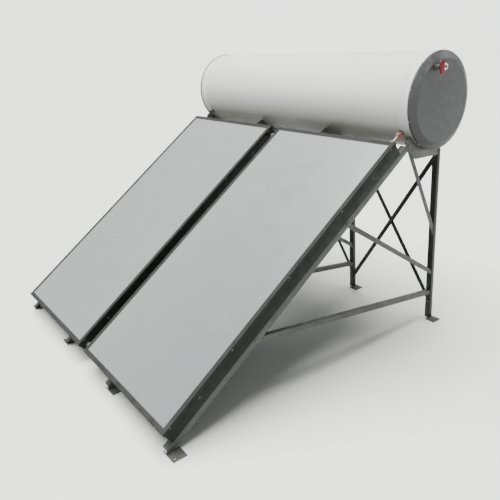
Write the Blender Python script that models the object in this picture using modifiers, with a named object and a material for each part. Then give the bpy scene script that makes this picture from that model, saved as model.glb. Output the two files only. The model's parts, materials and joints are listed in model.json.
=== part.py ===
"""Thermosiphon solar water heater: two flat collectors, a horizontal storage tank and an angle-steel stand.

Metres, +Z up, +X along the tank to the viewer's right, +Y to the back. The design frame has Y = 0 at the
lower front edge of the glazing plane and X = 0 between the two collectors. One empty carries everything
and shifts it, so that the world origin is the centre of the base.
"""

import math

import bmesh
import bpy
from mathutils import Matrix, Vector

# ---- driving dimensions -------------------------------------------------------------------------
GAP = 0.0003                      # clearance between pieces that touch

COLLECTOR_LENGTH = 2.0
COLLECTOR_WIDTH = 1.02
COLLECTOR_DEPTH = 0.088
COLLECTOR_SPACING = 0.09          # open gap between the two collectors
TILT = math.radians(35.3)
GLAZING_HEIGHT = 0.132            # lower front edge of the glazing plane above the ground

CASING_WALL = 0.002
BEZEL_LIP = 0.026
BEZEL_SKIRT = 0.02
GLASS_THICKNESS = 0.004
HEADER_DEPTH = 0.05               # header axis below the glazing plane; the tank axis lies in this plane
HEADER_RADIUS = 0.011
HEADER_BORE = 0.0095
HEADER_INSET = 0.045              # header axis from the casing's lower and upper ends
RISER_COUNT = 7
RISER_RADIUS = 0.006
BRANCH_RADIUS = 0.0102             # short branch from a header to the riser or downcomer
BRANCH_BORE = 0.0085
RISER_BRANCH = 0.02               # reach of the upper branch beyond the casing's end
DOWNCOMER_BRANCH = 0.006          # reach of the lower branch below the casing
HEADER_STUB_GAP = 0.002           # header ends from the middle of the coupling
HEADER_BLIND_INSET = 0.045        # the headers' closed ends from the casing's side
FIRST_RISER_INSET = 0.14
LAST_RISER_INSET = 0.1
SHEET_OVERHANG = 0.06             # absorber sheet beyond the first and last risers
PIPE_HOLE_ROOM = 0.0015
UNION_HALF_LENGTH = 0.036
UNION_RADIUS = 0.0165
UNION_WAIST = (0.016, 0.0145)     # half length and radius between the two nuts
HEADER_SPIN = math.radians(15)     # the spins keep the joined tubes' facets clear of each other's edges
BRANCH_SPIN = math.radians(10)
ABSORBER_SHEET = 0.0015

TANK_ALONG = 2.401                # tank axis, measured up the slope from the glazing's lower edge
JACKET_RADIUS = 0.2775
JACKET_WALL = 0.0012
JACKET_HALF_LENGTH = 1.0755
JACKET_HOLE_ROOM = 0.002
VESSEL_RADIUS = 0.23
VESSEL_WALL = 0.0025
VESSEL_HALF_BARREL = 1.0
VESSEL_DISH = 0.055
VESSEL_SIDES = 32
JACKET_SIDES = 48
CAP_RADIUS = 0.283
CAP_SKIRT_START = 1.076           # the skirt runs from here to its end, then a cone leads to the flat face
CAP_SKIRT_END = 1.086
CAP_FACE = 1.108
CAP_FACE_RADIUS = 0.238
CAP_WALL = 0.0025
PORT_X = 1.0                      # riser port at +X and downcomer port at -X
NIPPLE_RADIUS = 0.0133            # 3/4 inch pipe
NIPPLE_BORE = 0.0105
NIPPLE_REACH = 0.2915             # end of the side nipples from the tank axis
INLET_X = -0.8
INLET_REACH = 0.318
VALVE_Y = -0.091                  # relief valve and hot outlet, measured from the tank axis
OUTLET_Y = -0.04
END_PORT_Z = 0.195
END_NIPPLE = 0.01                 # reach of the end nipples beyond the cap face
NIPPLE_ROOT = 0.012               # how far a nipple starts inside the vessel's wall
ANODE_RADIUS = 0.011
ANODE_LENGTH = 0.6
ANODE_HEAD_RADIUS = 0.018
ANODE_HEAD = 0.009
FOAM_SHOULDER_INSET = 0.004

ANGLE = 0.04                      # rails: 40 x 40 x 4 angle
LEG_WEB = 0.025                   # rear legs: 40 x 25 x 4 angle, its wide flange across the front
BRACE_ANGLE = 0.03                # struts: 30 x 30 x 3 angle
STEEL = 0.004
BRACE_STEEL = 0.003
FLAT_WIDTH = 0.03                 # cross braces: 30 x 4 flat bar
FRAME_X = 1.06                    # outer face of the outer side frames
FRAME_COUNT = 4
RAIL_TOP = 2.06
FOOT_THICKNESS = 0.006
FRONT_FOOT = 0.08
REAR_FOOT = 0.07
FRONT_FOOT_Y = 0.053
RAIL_FRONT_Y = 0.015
FOOT_OFFSET = 0.022               # foot plate centre outside the frame's outer face
ANCHOR_RADIUS = 0.006
ANCHOR_OUTWARD = 0.55             # anchor hole from the plate's centre, as shares of half its side
ANCHOR_FORWARD = 0.5
RAIL_OVERRUN = 0.2                # the bars start this far beyond the ends that planes trim them to
LEG_OVERRUN = 0.05
STRUT_OVERRUN = 0.06
BRACE_OVERRUN = 0.04
LEG_FOOT_Y = 2.09                 # centre line of the rear legs at the ground
LEG_FRONT = -0.005                # front face of the leg's flange, behind its centre line
LEG_LEAN = math.radians(1.8)      # the rear legs lean forwards to the tank
LEG_TOP = 1.185
BRACE_LOW = 0.11                  # ends of the cross braces at the legs' webs, above the ground
BRACE_HIGH = 1.165
OUTER_CRADLE = (math.radians(220), (2.09, 0.075))     # front end of the saddle, and its corner on the slope
INNER_CRADLE = (math.radians(223), (2.07, 0.075))
CRADLE_BACK = math.radians(281)
SADDLE_STEPS = 14
CRADLE_CORNER = (2.084, 0.217)    # the plate's lowest corner, on the slope
CRADLE_FOOT = 1.152               # height of its lower edge at the leg

PIPE_RADIUS = 0.011
PIPE_BEND = 0.019                 # centre-line radius of the pipe bends
PIPE_CLEARANCE = 0.03             # downcomer axis below the casing
PIPE_DROP = 2.05                  # where the downcomer turns down, along the slope

COS_TILT = math.cos(TILT)
SIN_TILT = math.sin(TILT)


def slope(along, depth):
    """(y, z) of a point that lies `along` up the collectors' slope and `depth` below the glazing plane."""
    y = along * COS_TILT + depth * SIN_TILT
    z = GLAZING_HEIGHT + along * SIN_TILT - depth * COS_TILT
    return y, z


TANK_Y, TANK_Z = slope(TANK_ALONG, HEADER_DEPTH)
LEVER_REACH = 0.048               # outer face of the test lever beyond the cap face

# ---- scene, collections and placing --------------------------------------------------------------
for old in list(bpy.data.objects):
    bpy.data.objects.remove(old, do_unlink=True)

parts = bpy.data.collections.new("solar_water_heater")
cutters = bpy.data.collections.new("cutters")
bpy.context.scene.collection.children.link(parts)
bpy.context.scene.collection.children.link(cutters)
cutters.hide_render = True

# The glazing's lower edge is the front of the whole and the caps its back; the outermost front foot is
# its left end and the lever its right end.
MID_X = (CAP_FACE + LEVER_REACH - FRAME_X - FOOT_OFFSET - FRONT_FOOT / 2) / 2
MID_Y = (TANK_Y + CAP_RADIUS) / 2

base = bpy.data.objects.new("base_centre", None)
base.location = (-MID_X, -MID_Y, 0)
parts.objects.link(base)


def empty(name, location, rotation=(0, 0, 0)):
    """An empty carried by the base, for a group of pieces or for a joint's axis."""
    obj = bpy.data.objects.new(name, None)
    obj.location = location
    obj.rotation_euler = rotation
    obj.parent = base
    parts.objects.link(obj)
    return obj


def material(name, colour, roughness, metallic=0.0):
    made = bpy.data.materials.new(name)
    made.use_nodes = True
    shader = made.node_tree.nodes["Principled BSDF"]
    shader.inputs["Base Color"].default_value = (*colour, 1.0)
    shader.inputs["Roughness"].default_value = roughness
    shader.inputs["Metallic"].default_value = metallic
    return made


STAND_STEEL = ("stand_steel", (0.12, 0.125, 0.12), 0.5, 0.6)
BRACE_STEEL_PAINT = ("brace_steel", (0.04, 0.042, 0.04), 0.5, 0.6)
JACKET_PAINT = ("jacket_paint", (0.62, 0.63, 0.58), 0.35, 0.1)
CAP_PLASTIC = ("cap_plastic", (0.13, 0.13, 0.135), 0.5, 0.0)
CASING_PAINT = ("casing_paint", (0.025, 0.028, 0.026), 0.45, 0.5)
BEZEL_ALUMINIUM = ("bezel_aluminium", (0.25, 0.26, 0.25), 0.4, 0.8)
SOLAR_GLASS = ("solar_glass", (0.5, 0.5, 0.5), 0.2, 0.0)
COPPER = ("copper", (0.72, 0.32, 0.2), 0.35, 1.0)
BRASS = ("brass", (0.7, 0.55, 0.3), 0.35, 1.0)
VESSEL_STEEL = ("vessel_steel", (0.3, 0.3, 0.32), 0.5, 0.8)
FOAM = ("foam", (0.75, 0.65, 0.35), 0.9, 0.0)
MINERAL_WOOL = ("mineral_wool", (0.6, 0.5, 0.25), 0.95, 0.0)
RED_PLASTIC = ("red_plastic", (0.45, 0.03, 0.05), 0.4, 0.0)
WHITE_PLASTIC = ("white_plastic", (0.75, 0.72, 0.73), 0.4, 0.0)
MAGNESIUM = ("magnesium", (0.5, 0.5, 0.5), 0.6, 1.0)


def add_part(name, mesh, look, location=(0, 0, 0), rotation=(0, 0, 0), parent=base):
    """A named part with its own material, carried by its parent."""
    mesh.materials.clear()
    mesh.materials.append(material(f"{name}_{look[0]}", *look[1:]))
    obj = bpy.data.objects.new(name, mesh)
    obj.location = location
    obj.rotation_euler = rotation
    obj.parent = parent
    parts.objects.link(obj)
    return obj


def add_cutter(name, mesh, location=(0, 0, 0), rotation=(0, 0, 0), parent=base):
    obj = bpy.data.objects.new(name, mesh)
    obj.location = location
    obj.rotation_euler = rotation
    obj.parent = parent
    obj.hide_render = True
    obj.display_type = "WIRE"
    cutters.objects.link(obj)
    return obj


def cut(obj, cutter, operation="DIFFERENCE"):
    """A Boolean on obj; a union takes the other shape in, a difference takes it away."""
    modifier = obj.modifiers.new(cutter.name, "BOOLEAN")
    modifier.operation = operation
    modifier.solver = "EXACT"
    modifier.object = cutter


def smooth(mesh):
    mesh.shade_smooth()
    mesh.set_sharp_from_angle(angle=math.radians(35))


# ---- shapes ---------------------------------------------------------------------------------------
def box_mesh(name, size, centre=(0, 0, 0)):
    bm = bmesh.new()
    bmesh.ops.create_cube(bm, size=1.0)
    bmesh.ops.scale(bm, vec=size, verts=bm.verts)
    bmesh.ops.translate(bm, vec=centre, verts=bm.verts)
    mesh = bpy.data.meshes.new(name)
    bm.to_mesh(mesh)
    bm.free()
    return mesh


def rod_mesh(name, start, end, radius, sides=12, spin=0.0):
    """A closed cylinder from start to end; spin turns its facets about its own axis."""
    start, end = Vector(start), Vector(end)
    axis = end - start
    turn = Vector((0, 0, 1)).rotation_difference(axis).to_matrix().to_4x4()
    turn = turn @ Matrix.Rotation(spin, 4, "Z")
    bm = bmesh.new()
    bmesh.ops.create_cone(
        bm, cap_ends=True, segments=sides, radius1=radius, radius2=radius, depth=axis.length,
        matrix=Matrix.Translation((start + end) / 2) @ turn,
    )
    mesh = bpy.data.meshes.new(name)
    bm.to_mesh(mesh)
    bm.free()
    smooth(mesh)
    return mesh


def evaluated_mesh(obj):
    """The object's shape as a welded mesh; the object itself is removed."""
    graph = bpy.context.evaluated_depsgraph_get()
    mesh = bpy.data.meshes.new_from_object(obj.evaluated_get(graph))
    bm = bmesh.new()
    bm.from_mesh(mesh)
    bmesh.ops.remove_doubles(bm, verts=bm.verts, dist=1e-6)
    bm.to_mesh(mesh)
    bm.free()
    bpy.data.objects.remove(obj, do_unlink=True)
    return mesh


def outline_mesh(name, loops, thickness):
    """A flat plate in local XY, thickness centred on local Z; later loops are holes in the first."""
    curve = bpy.data.curves.new(name, "CURVE")
    curve.dimensions = "2D"
    curve.fill_mode = "BOTH"
    curve.extrude = thickness / 2
    for points in loops:
        spline = curve.splines.new("POLY")
        spline.points.add(len(points) - 1)
        for point, (x, y) in zip(spline.points, points):
            point.co = (x, y, 0, 1)
        spline.use_cyclic_u = True
    obj = bpy.data.objects.new(name, curve)
    bpy.context.scene.collection.objects.link(obj)
    bpy.context.view_layer.update()
    return evaluated_mesh(obj)


def turned_mesh(name, profile, steps, closed=True):
    """A shape turned about local X; the profile is (x, radius), from the +X end down its outer side."""
    bm = bmesh.new()
    points = [bm.verts.new((radius, 0, x)) for x, radius in profile]
    for first, second in zip(points, points[1:]):
        bm.edges.new((first, second))
    if closed:
        bm.edges.new((points[-1], points[0]))
    mesh = bpy.data.meshes.new(name)
    bm.to_mesh(mesh)
    bm.free()
    obj = bpy.data.objects.new(name, mesh)
    bpy.context.scene.collection.objects.link(obj)
    screw = obj.modifiers.new("turn", "SCREW")
    screw.axis = "Z"
    screw.steps = steps
    screw.render_steps = steps
    screw.use_merge_vertices = True
    screw.merge_threshold = 1e-5
    bpy.context.view_layer.update()
    turned = evaluated_mesh(obj)
    turned.transform(Matrix.Rotation(math.pi / 2, 4, "Y"))
    smooth(turned)
    return turned


def tube_mesh(name, points, radius):
    """A round pipe along a smooth route."""
    curve = bpy.data.curves.new(name, "CURVE")
    curve.dimensions = "3D"
    curve.bevel_depth = radius
    curve.bevel_resolution = 3
    curve.use_fill_caps = True
    spline = curve.splines.new("POLY")
    spline.points.add(len(points) - 1)
    for point, place in zip(spline.points, points):
        point.co = (*place, 1)
    obj = bpy.data.objects.new(name, curve)
    bpy.context.scene.collection.objects.link(obj)
    bpy.context.view_layer.update()
    mesh = evaluated_mesh(obj)
    smooth(mesh)
    return mesh


def rounded_route(corners, bend, steps=5):
    """The corner points joined by straight runs, with each inner corner rounded to the bend radius."""
    corners = [Vector(corner) for corner in corners]
    route = [corners[0]]
    for before, corner, after in zip(corners, corners[1:], corners[2:]):
        to_before = (before - corner).normalized()
        to_after = (after - corner).normalized()
        half = to_before.angle(to_after) / 2
        middle = corner + (to_before + to_after).normalized() * bend / math.sin(half)
        reach = bend / math.tan(half)
        first = corner + to_before * reach - middle
        last = corner + to_after * reach - middle
        for step in range(steps + 1):
            route.append(middle + first.slerp(last, step / steps) * bend)
    route.append(corners[-1])
    return route


def trim(mesh, matrix, planes):
    """Cuts the mesh by planes given in the parent's frame and closes it; each normal points at the waste."""
    bm = bmesh.new()
    bm.from_mesh(mesh)
    bm.transform(matrix)
    for point, normal in planes:
        everything = bm.verts[:] + bm.edges[:] + bm.faces[:]
        bmesh.ops.bisect_plane(bm, geom=everything, plane_co=point, plane_no=normal, clear_outer=True)
        open_edges = [edge for edge in bm.edges if edge.is_boundary]
        bmesh.ops.holes_fill(bm, edges=open_edges, sides=0)
    bmesh.ops.recalc_face_normals(bm, faces=bm.faces)
    bm.transform(matrix.inverted())
    bm.to_mesh(mesh)
    bm.free()


def axis_frame(start, end, across):
    """Local Z from start to end with local X near `across`, and the origin halfway."""
    start, end = Vector(start), Vector(end)
    along = (end - start).normalized()
    side = along.cross(Vector(across)).normalized()
    across = side.cross(along)
    turn = Matrix((across, side, along)).transposed().to_4x4()
    return Matrix.Translation((start + end) / 2) @ turn


def bar(name, profile, start, end, across, look, planes=()):
    """A rolled section from start to end: the profile lies in local XY, with X along `across`."""
    length = (Vector(end) - Vector(start)).length
    matrix = axis_frame(start, end, across)
    mesh = outline_mesh(name, [profile], length)
    if planes:
        trim(mesh, matrix, planes)
    return add_part(name, mesh, look, matrix.to_translation(), matrix.to_euler())


def angle_profile(size, thickness, turn=1, other=None):
    """An L with its heel at the origin, one leg along +X and the other along +Y, or -Y for turn -1."""
    other = other or size
    points = [(0, 0), (size, 0), (size, thickness), (thickness, thickness), (thickness, other), (0, other)]
    return [(x, turn * y) for x, y in points]


def arc(centre, radius, first, last, steps):
    """Points on an arc round a centre, from one angle to the other."""
    angles = [first + (last - first) * step / steps for step in range(steps + 1)]
    return [(centre[0] + radius * math.cos(a), centre[1] + radius * math.sin(a)) for a in angles]


def upright(mesh):
    """Turns a plate drawn in local XY into the XZ plane, its thickness along Y."""
    mesh.transform(Matrix.Rotation(math.pi / 2, 4, "X"))
    return mesh


def facing(mesh):
    """Turns a plate drawn in local XY into the YZ plane, its thickness along X."""
    mesh.transform(Matrix(((0, 0, 1, 0), (1, 0, 0, 0), (0, 1, 0, 0), (0, 0, 0, 1))))
    return mesh


# ---- stand ----------------------------------------------------------------------------------------
DOWN_SLOPE = Vector((0, -COS_TILT, -SIN_TILT))
OUT_OF_GLAZING = Vector((0, -SIN_TILT, COS_TILT))
RAIL_DEPTH = COLLECTOR_DEPTH + GAP        # upper face of the rails below the glazing plane
UP_LEG = Vector((0, -math.sin(LEG_LEAN), math.cos(LEG_LEAN)))
BEHIND_LEG = Vector((0, math.cos(LEG_LEAN), math.sin(LEG_LEAN)))
FOOT_TOP = FOOT_THICKNESS + GAP


def on_slope(x, along, depth):
    return Vector((x, *slope(along, depth)))


def on_leg(x, height, behind=0.0):
    """A point on the centre line of a rear leg's web, or behind it."""
    foot = Vector((x, LEG_FOOT_Y, 0))
    return foot + UP_LEG * (height / math.cos(LEG_LEAN)) + BEHIND_LEG * behind


def make_rail(name, x, inward):
    """Sloping angle under the collectors: web upright at the outer face, flange under the casing."""
    start = on_slope(x, -RAIL_OVERRUN, RAIL_DEPTH)
    end = on_slope(x, RAIL_TOP, RAIL_DEPTH)
    planes = [
        ((0, 0, FOOT_TOP), (0, 0, -1)),
        ((0, RAIL_FRONT_Y, 0), (0, -1, 0)),
    ]
    # Local X runs down from the casing and local Y to world -X.
    profile = angle_profile(ANGLE, STEEL, turn=-inward)
    return bar(name, profile, start, end, -OUT_OF_GLAZING, STAND_STEEL, planes)


def make_leg(name, x, inward):
    """Rear leg: narrow web at the outer face, wide flange along its front edge."""
    start = on_leg(x, -LEG_OVERRUN, LEG_FRONT)
    end = on_leg(x, LEG_TOP, LEG_FRONT)
    planes = [((0, 0, FOOT_TOP), (0, 0, -1))]
    # Local X runs back from the heel and local Y to world -X.
    profile = angle_profile(LEG_WEB, STEEL, turn=-inward, other=ANGLE)
    return bar(name, profile, start, end, BEHIND_LEG, BRACE_STEEL_PAINT, planes)


def make_strut(name, x, inward, rail_along, leg_height):
    """Strut from a rail's inner face to the front of its rear leg, flange inwards along its upper edge."""
    face = x + inward * (STEEL + GAP)
    rail_end = on_slope(face, rail_along, RAIL_DEPTH + ANGLE / 2)
    leg_end = on_leg(face, leg_height)
    along = (leg_end - rail_end).normalized()
    up = Vector((1, 0, 0)).cross(along)
    if up.z < 0:
        up.negate()
    heel_shift = up * BRACE_ANGLE / 2
    start = rail_end + heel_shift - along * STRUT_OVERRUN
    end = leg_end + heel_shift + along * STRUT_OVERRUN
    planes = [
        (on_slope(0, 0, RAIL_DEPTH + STEEL + GAP), OUT_OF_GLAZING),
        (on_leg(0, 0, LEG_FRONT - GAP), BEHIND_LEG),
    ]
    # Local X runs down from the heel; local Y is up to the bar's direction, so the flange may need a turn.
    side = along.cross(-up).x
    profile = angle_profile(BRACE_ANGLE, BRACE_STEEL, turn=1 if side * inward > 0 else -1)
    return bar(name, profile, start, end, -up, STAND_STEEL, planes)


def make_cradle(name, x, outward, front_angle, front_corner):
    """Saddle plate in the plane of the webs, welded to the ends of a rail and its leg under the tank."""
    centre = (TANK_Y, TANK_Z)
    saddle = arc(centre, JACKET_RADIUS + GAP * 2, front_angle, CRADLE_BACK, SADDLE_STEPS)
    on_the_leg = [
        on_leg(0, LEG_TOP + GAP, LEG_FRONT + LEG_WEB),
        on_leg(0, LEG_TOP + GAP, LEG_FRONT - GAP),
        on_leg(0, CRADLE_FOOT, LEG_FRONT - GAP),
    ]
    rail_end = RAIL_TOP + GAP
    outline = saddle + [(point.y, point.z) for point in on_the_leg] + [
        slope(*CRADLE_CORNER),
        slope(rail_end, RAIL_DEPTH + ANGLE),
        slope(rail_end, RAIL_DEPTH),
        slope(*front_corner),
    ]
    mesh = outline_mesh(name, [outline], STEEL)
    return add_part(name, facing(mesh), STAND_STEEL, (x - outward * STEEL / 2, 0, 0))


def make_foot(name, x, y, size):
    """Square foot plate with an anchor hole outside the bar that stands on it."""
    half = size / 2
    middle = (math.copysign(half * ANCHOR_OUTWARD, x), -half * ANCHOR_FORWARD)
    hole = arc(middle, ANCHOR_RADIUS, 0, math.tau * 11 / 12, 11)      # twelve points, the last not repeated
    square = [(-half, -half), (half, -half), (half, half), (-half, half)]
    mesh = outline_mesh(name, [square, hole], FOOT_THICKNESS)
    return add_part(name, mesh, STAND_STEEL, (x, y, FOOT_THICKNESS / 2))


STRUTS = (                        # name, along the rail, height on the leg
    ("base_brace", 0.645, 0.2),
    ("diagonal_strut", 1.464, 0.35),
)
UPPER_STRUT = (2.08, 0.639)       # its top lies on the inner face of the cradle plate


def frame_outer_x(index):
    return -FRAME_X + index * 2 * FRAME_X / (FRAME_COUNT - 1)


for index in range(FRAME_COUNT):
    number = index + 1
    x = frame_outer_x(index)
    outward = math.copysign(1, x)
    make_rail(f"sloping_rail_{number}", x, -outward)
    make_leg(f"rear_leg_{number}", x, -outward)
    for strut_name, rail_along, leg_height in STRUTS:
        make_strut(f"{strut_name}_{number}", x, -outward, rail_along, leg_height)
    is_outer = index in (0, FRAME_COUNT - 1)
    if is_outer:
        make_strut(f"upper_strut_{number}", x, -outward, *UPPER_STRUT)
    make_cradle(f"tank_cradle_{number}", x, outward, *(OUTER_CRADLE if is_outer else INNER_CRADLE))
    foot_x = x + outward * FOOT_OFFSET
    make_foot(f"front_foot_{number}", foot_x, FRONT_FOOT_Y, FRONT_FOOT)
    make_foot(f"rear_foot_{number}", foot_x, LEG_FOOT_Y, REAR_FOOT)


def web_faces(index):
    """World x just left and just right of a rear leg's web."""
    outer = frame_outer_x(index)
    inner = outer - math.copysign(STEEL, outer)
    return min(outer, inner) - GAP, max(outer, inner) + GAP


def make_cross_brace(name, left, right, layer):
    """Flat bar between two rear legs; layer 1 lies on the back of their flanges and layer 2 on layer 1."""
    behind = LEG_FRONT + STEEL / 2 + layer * (STEEL + GAP)
    start = on_leg(left[0], left[1], behind)
    end = on_leg(right[0], right[1], behind)
    beyond = (end - start).normalized() * BRACE_OVERRUN
    planes = [
        (start, (-1, 0, 0)),
        (end, (1, 0, 0)),
        ((0, 0, LEG_TOP), (0, 0, 1)),
    ]
    half_width, half_thickness = FLAT_WIDTH / 2, STEEL / 2
    profile = [
        (-half_width, -half_thickness), (half_width, -half_thickness),
        (half_width, half_thickness), (-half_width, half_thickness),
    ]
    across = beyond.cross(BEHIND_LEG)
    return bar(name, profile, start - beyond, end + beyond, across, BRACE_STEEL_PAINT, planes)


for panel in range(FRAME_COUNT - 1):
    x_left = web_faces(panel)[1]
    x_right = web_faces(panel + 1)[0]
    make_cross_brace(f"cross_brace_{panel + 1}_a", (x_left, BRACE_LOW), (x_right, BRACE_HIGH), 1)
    make_cross_brace(f"cross_brace_{panel + 1}_b", (x_left, BRACE_HIGH), (x_right, BRACE_LOW), 2)


# ---- collectors -----------------------------------------------------------------------------------
# Local frame of a collector: X across, Y up the slope from its lower edge, Z out of the glazing plane.
CASING_TOP = -(CASING_WALL + GAP + GLASS_THICKNESS + GAP)
SKIRT_ROOM = CASING_WALL + GAP
HEADER_LEVELS = (HEADER_INSET, COLLECTOR_LENGTH - HEADER_INSET)


def tray_mesh(name, width, length, depth, top):
    """An open tray with its rim at `top`, made as a surface that Solidify thickens inwards."""
    bm = bmesh.new()
    bmesh.ops.create_cube(bm, size=1.0)
    bmesh.ops.scale(bm, vec=(width, length, depth), verts=bm.verts)
    bmesh.ops.translate(bm, vec=(0, COLLECTOR_LENGTH / 2, top - depth / 2), verts=bm.verts)
    bm.faces.ensure_lookup_table()
    lid = max(bm.faces, key=lambda face: face.calc_center_median().z)
    bmesh.ops.delete(bm, geom=[lid], context="FACES_ONLY")
    mesh = bpy.data.meshes.new(name)
    bm.to_mesh(mesh)
    bm.free()
    return mesh


def bezel_mesh(name):
    """The clamping frame's outer surface: a lip over the glass edge and a skirt over the casing walls."""
    bm = bmesh.new()
    bmesh.ops.create_cube(bm, size=1.0)
    bmesh.ops.scale(bm, vec=(COLLECTOR_WIDTH, COLLECTOR_LENGTH, BEZEL_SKIRT), verts=bm.verts)
    bmesh.ops.translate(bm, vec=(0, COLLECTOR_LENGTH / 2, -BEZEL_SKIRT / 2), verts=bm.verts)
    top = max(bm.faces, key=lambda face: face.calc_center_median().z)
    bottom = min(bm.faces, key=lambda face: face.calc_center_median().z)
    bmesh.ops.delete(bm, geom=[bottom], context="FACES_ONLY")
    bmesh.ops.inset_region(bm, faces=[top], thickness=BEZEL_LIP, use_even_offset=True)
    bmesh.ops.delete(bm, geom=[top], context="FACES_ONLY")
    mesh = bpy.data.meshes.new(name)
    bm.to_mesh(mesh)
    bm.free()
    return mesh


def thicken(obj, thickness):
    solidify = obj.modifiers.new("wall", "SOLIDIFY")
    solidify.thickness = thickness
    solidify.offset = -1
    solidify.use_even_offset = True


def collector_holes(side):
    """(start, end) of the header holes through the casing's inner side wall, in the collector's frame."""
    wall = -side * COLLECTOR_WIDTH / 2
    holes = []
    for level in HEADER_LEVELS:
        start = (wall - side * COLLECTOR_SPACING / 3, level, -HEADER_DEPTH)
        end = (wall + side * COLLECTOR_SPACING / 3, level, -HEADER_DEPTH)
        holes.append((start, end))
    return holes


def make_collector(side, word):
    """One collector; side 1 is the right one, with the riser, and -1 the left one, with the downcomer."""
    centre_x = side * (COLLECTOR_SPACING + COLLECTOR_WIDTH) / 2
    frame = empty(f"collector_frame_{word}", (centre_x, 0, GLAZING_HEIGHT), (TILT, 0, 0))
    port_x = side * PORT_X - centre_x
    inner_width = COLLECTOR_WIDTH - 2 * SKIRT_ROOM
    inner_length = COLLECTOR_LENGTH - 2 * SKIRT_ROOM

    casing = tray_mesh(
        f"collector_casing_{word}", inner_width, inner_length, COLLECTOR_DEPTH + CASING_TOP, CASING_TOP
    )
    casing = add_part(f"collector_casing_{word}", casing, CASING_PAINT, parent=frame)
    thicken(casing, CASING_WALL)

    bezel = add_part(f"glazing_frame_{word}", bezel_mesh(f"glazing_frame_{word}"), BEZEL_ALUMINIUM,
                     parent=frame)
    thicken(bezel, CASING_WALL)

    glass_top = -(CASING_WALL + GAP)
    glass_size = (inner_width - 2 * GAP, inner_length - 2 * GAP, GLASS_THICKNESS)
    glass_centre = (0, COLLECTOR_LENGTH / 2, glass_top - GLASS_THICKNESS / 2)
    add_part(f"solar_glass_{word}", box_mesh(f"solar_glass_{word}", glass_size, glass_centre),
             SOLAR_GLASS, parent=frame)

    floor = -COLLECTOR_DEPTH + CASING_WALL + GAP
    wool_top = -(HEADER_DEPTH + HEADER_RADIUS + GAP)
    wool_size = (
        inner_width - 2 * (CASING_WALL + GAP), inner_length - 2 * (CASING_WALL + GAP), wool_top - floor
    )
    wool_centre = (0, COLLECTOR_LENGTH / 2, (wool_top + floor) / 2)
    wool = add_part(f"back_insulation_{word}", box_mesh(f"back_insulation_{word}", wool_size, wool_centre),
                    MINERAL_WOOL, parent=frame)

    stub_end = -side * (centre_x * side - HEADER_STUB_GAP)
    blind_end = side * (COLLECTOR_WIDTH / 2 - HEADER_BLIND_INSET)
    lower, upper = HEADER_LEVELS
    harp = add_part(
        f"absorber_harp_{word}",
        rod_mesh(f"absorber_harp_{word}", (stub_end, lower, -HEADER_DEPTH), (blind_end, lower, -HEADER_DEPTH),
                 HEADER_RADIUS, 12, HEADER_SPIN),
        COPPER, parent=frame)
    joined = [("header", (stub_end, upper, -HEADER_DEPTH), (blind_end, upper, -HEADER_DEPTH),
               HEADER_RADIUS, 12, HEADER_SPIN)]
    first_riser, last_riser = stub_end + side * FIRST_RISER_INSET, blind_end - side * LAST_RISER_INSET
    for riser in range(RISER_COUNT):
        x = first_riser + (last_riser - first_riser) * riser / (RISER_COUNT - 1)
        ends = (x, lower, -HEADER_DEPTH), (x, upper, -HEADER_DEPTH)
        joined.append((f"riser_{riser}", *ends, RISER_RADIUS, 8, 0.0))
    if side > 0:
        branch = (port_x, upper, -HEADER_DEPTH), (port_x, COLLECTOR_LENGTH + RISER_BRANCH, -HEADER_DEPTH)
    else:
        branch = (port_x, lower, -HEADER_DEPTH), (port_x, lower, -COLLECTOR_DEPTH - DOWNCOMER_BRANCH)
    joined.append(("branch", *branch, BRANCH_RADIUS, 12, BRANCH_SPIN))
    for piece, start, end, radius, sides, spin in joined:
        mesh = rod_mesh(f"{piece}_{word}", start, end, radius, sides, spin)
        cut(harp, add_cutter(f"{piece}_{word}", mesh, parent=frame), "UNION")
    plate_bottom = -HEADER_DEPTH + RISER_RADIUS - ABSORBER_SHEET
    plate_length = upper - lower - 4 * HEADER_RADIUS
    plate_width = abs(last_riser - first_riser) + 2 * SHEET_OVERHANG
    plate = box_mesh(
        f"absorber_sheet_{word}", (plate_width, plate_length, 2 * ABSORBER_SHEET),
        ((first_riser + last_riser) / 2, COLLECTOR_LENGTH / 2, plate_bottom + ABSORBER_SHEET),
    )
    cut(harp, add_cutter(f"absorber_sheet_{word}", plate, parent=frame), "UNION")
    beyond_branch = Vector(branch[1]) * 2 - Vector(branch[0])
    bores = [
        (f"bore_{row}", (stub_end - side * HEADER_RADIUS, level, -HEADER_DEPTH),
         (blind_end - side * HEADER_RADIUS / 2, level, -HEADER_DEPTH), HEADER_BORE, HEADER_SPIN)
        for row, level in enumerate(HEADER_LEVELS)
    ]
    bores.append(("branch_bore", branch[0], beyond_branch, BRANCH_BORE, BRANCH_SPIN))
    for piece, start, end, radius, spin in bores:
        mesh = rod_mesh(f"{piece}_{word}", start, end, radius, 12, spin)
        cut(harp, add_cutter(f"{piece}_{word}", mesh, parent=frame))

    holes = collector_holes(side)
    holes.append((branch[0], beyond_branch))
    for number, (start, end) in enumerate(holes):
        mesh = rod_mesh(f"pipe_hole_{number}_{word}", start, end, HEADER_RADIUS + PIPE_HOLE_ROOM, 12)
        hole = add_cutter(f"pipe_hole_{number}_{word}", mesh, parent=frame)
        cut(casing, hole)
        if side < 0 and number == len(holes) - 1:
            cut(wool, hole)


make_collector(-1, "left")
make_collector(1, "right")

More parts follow.
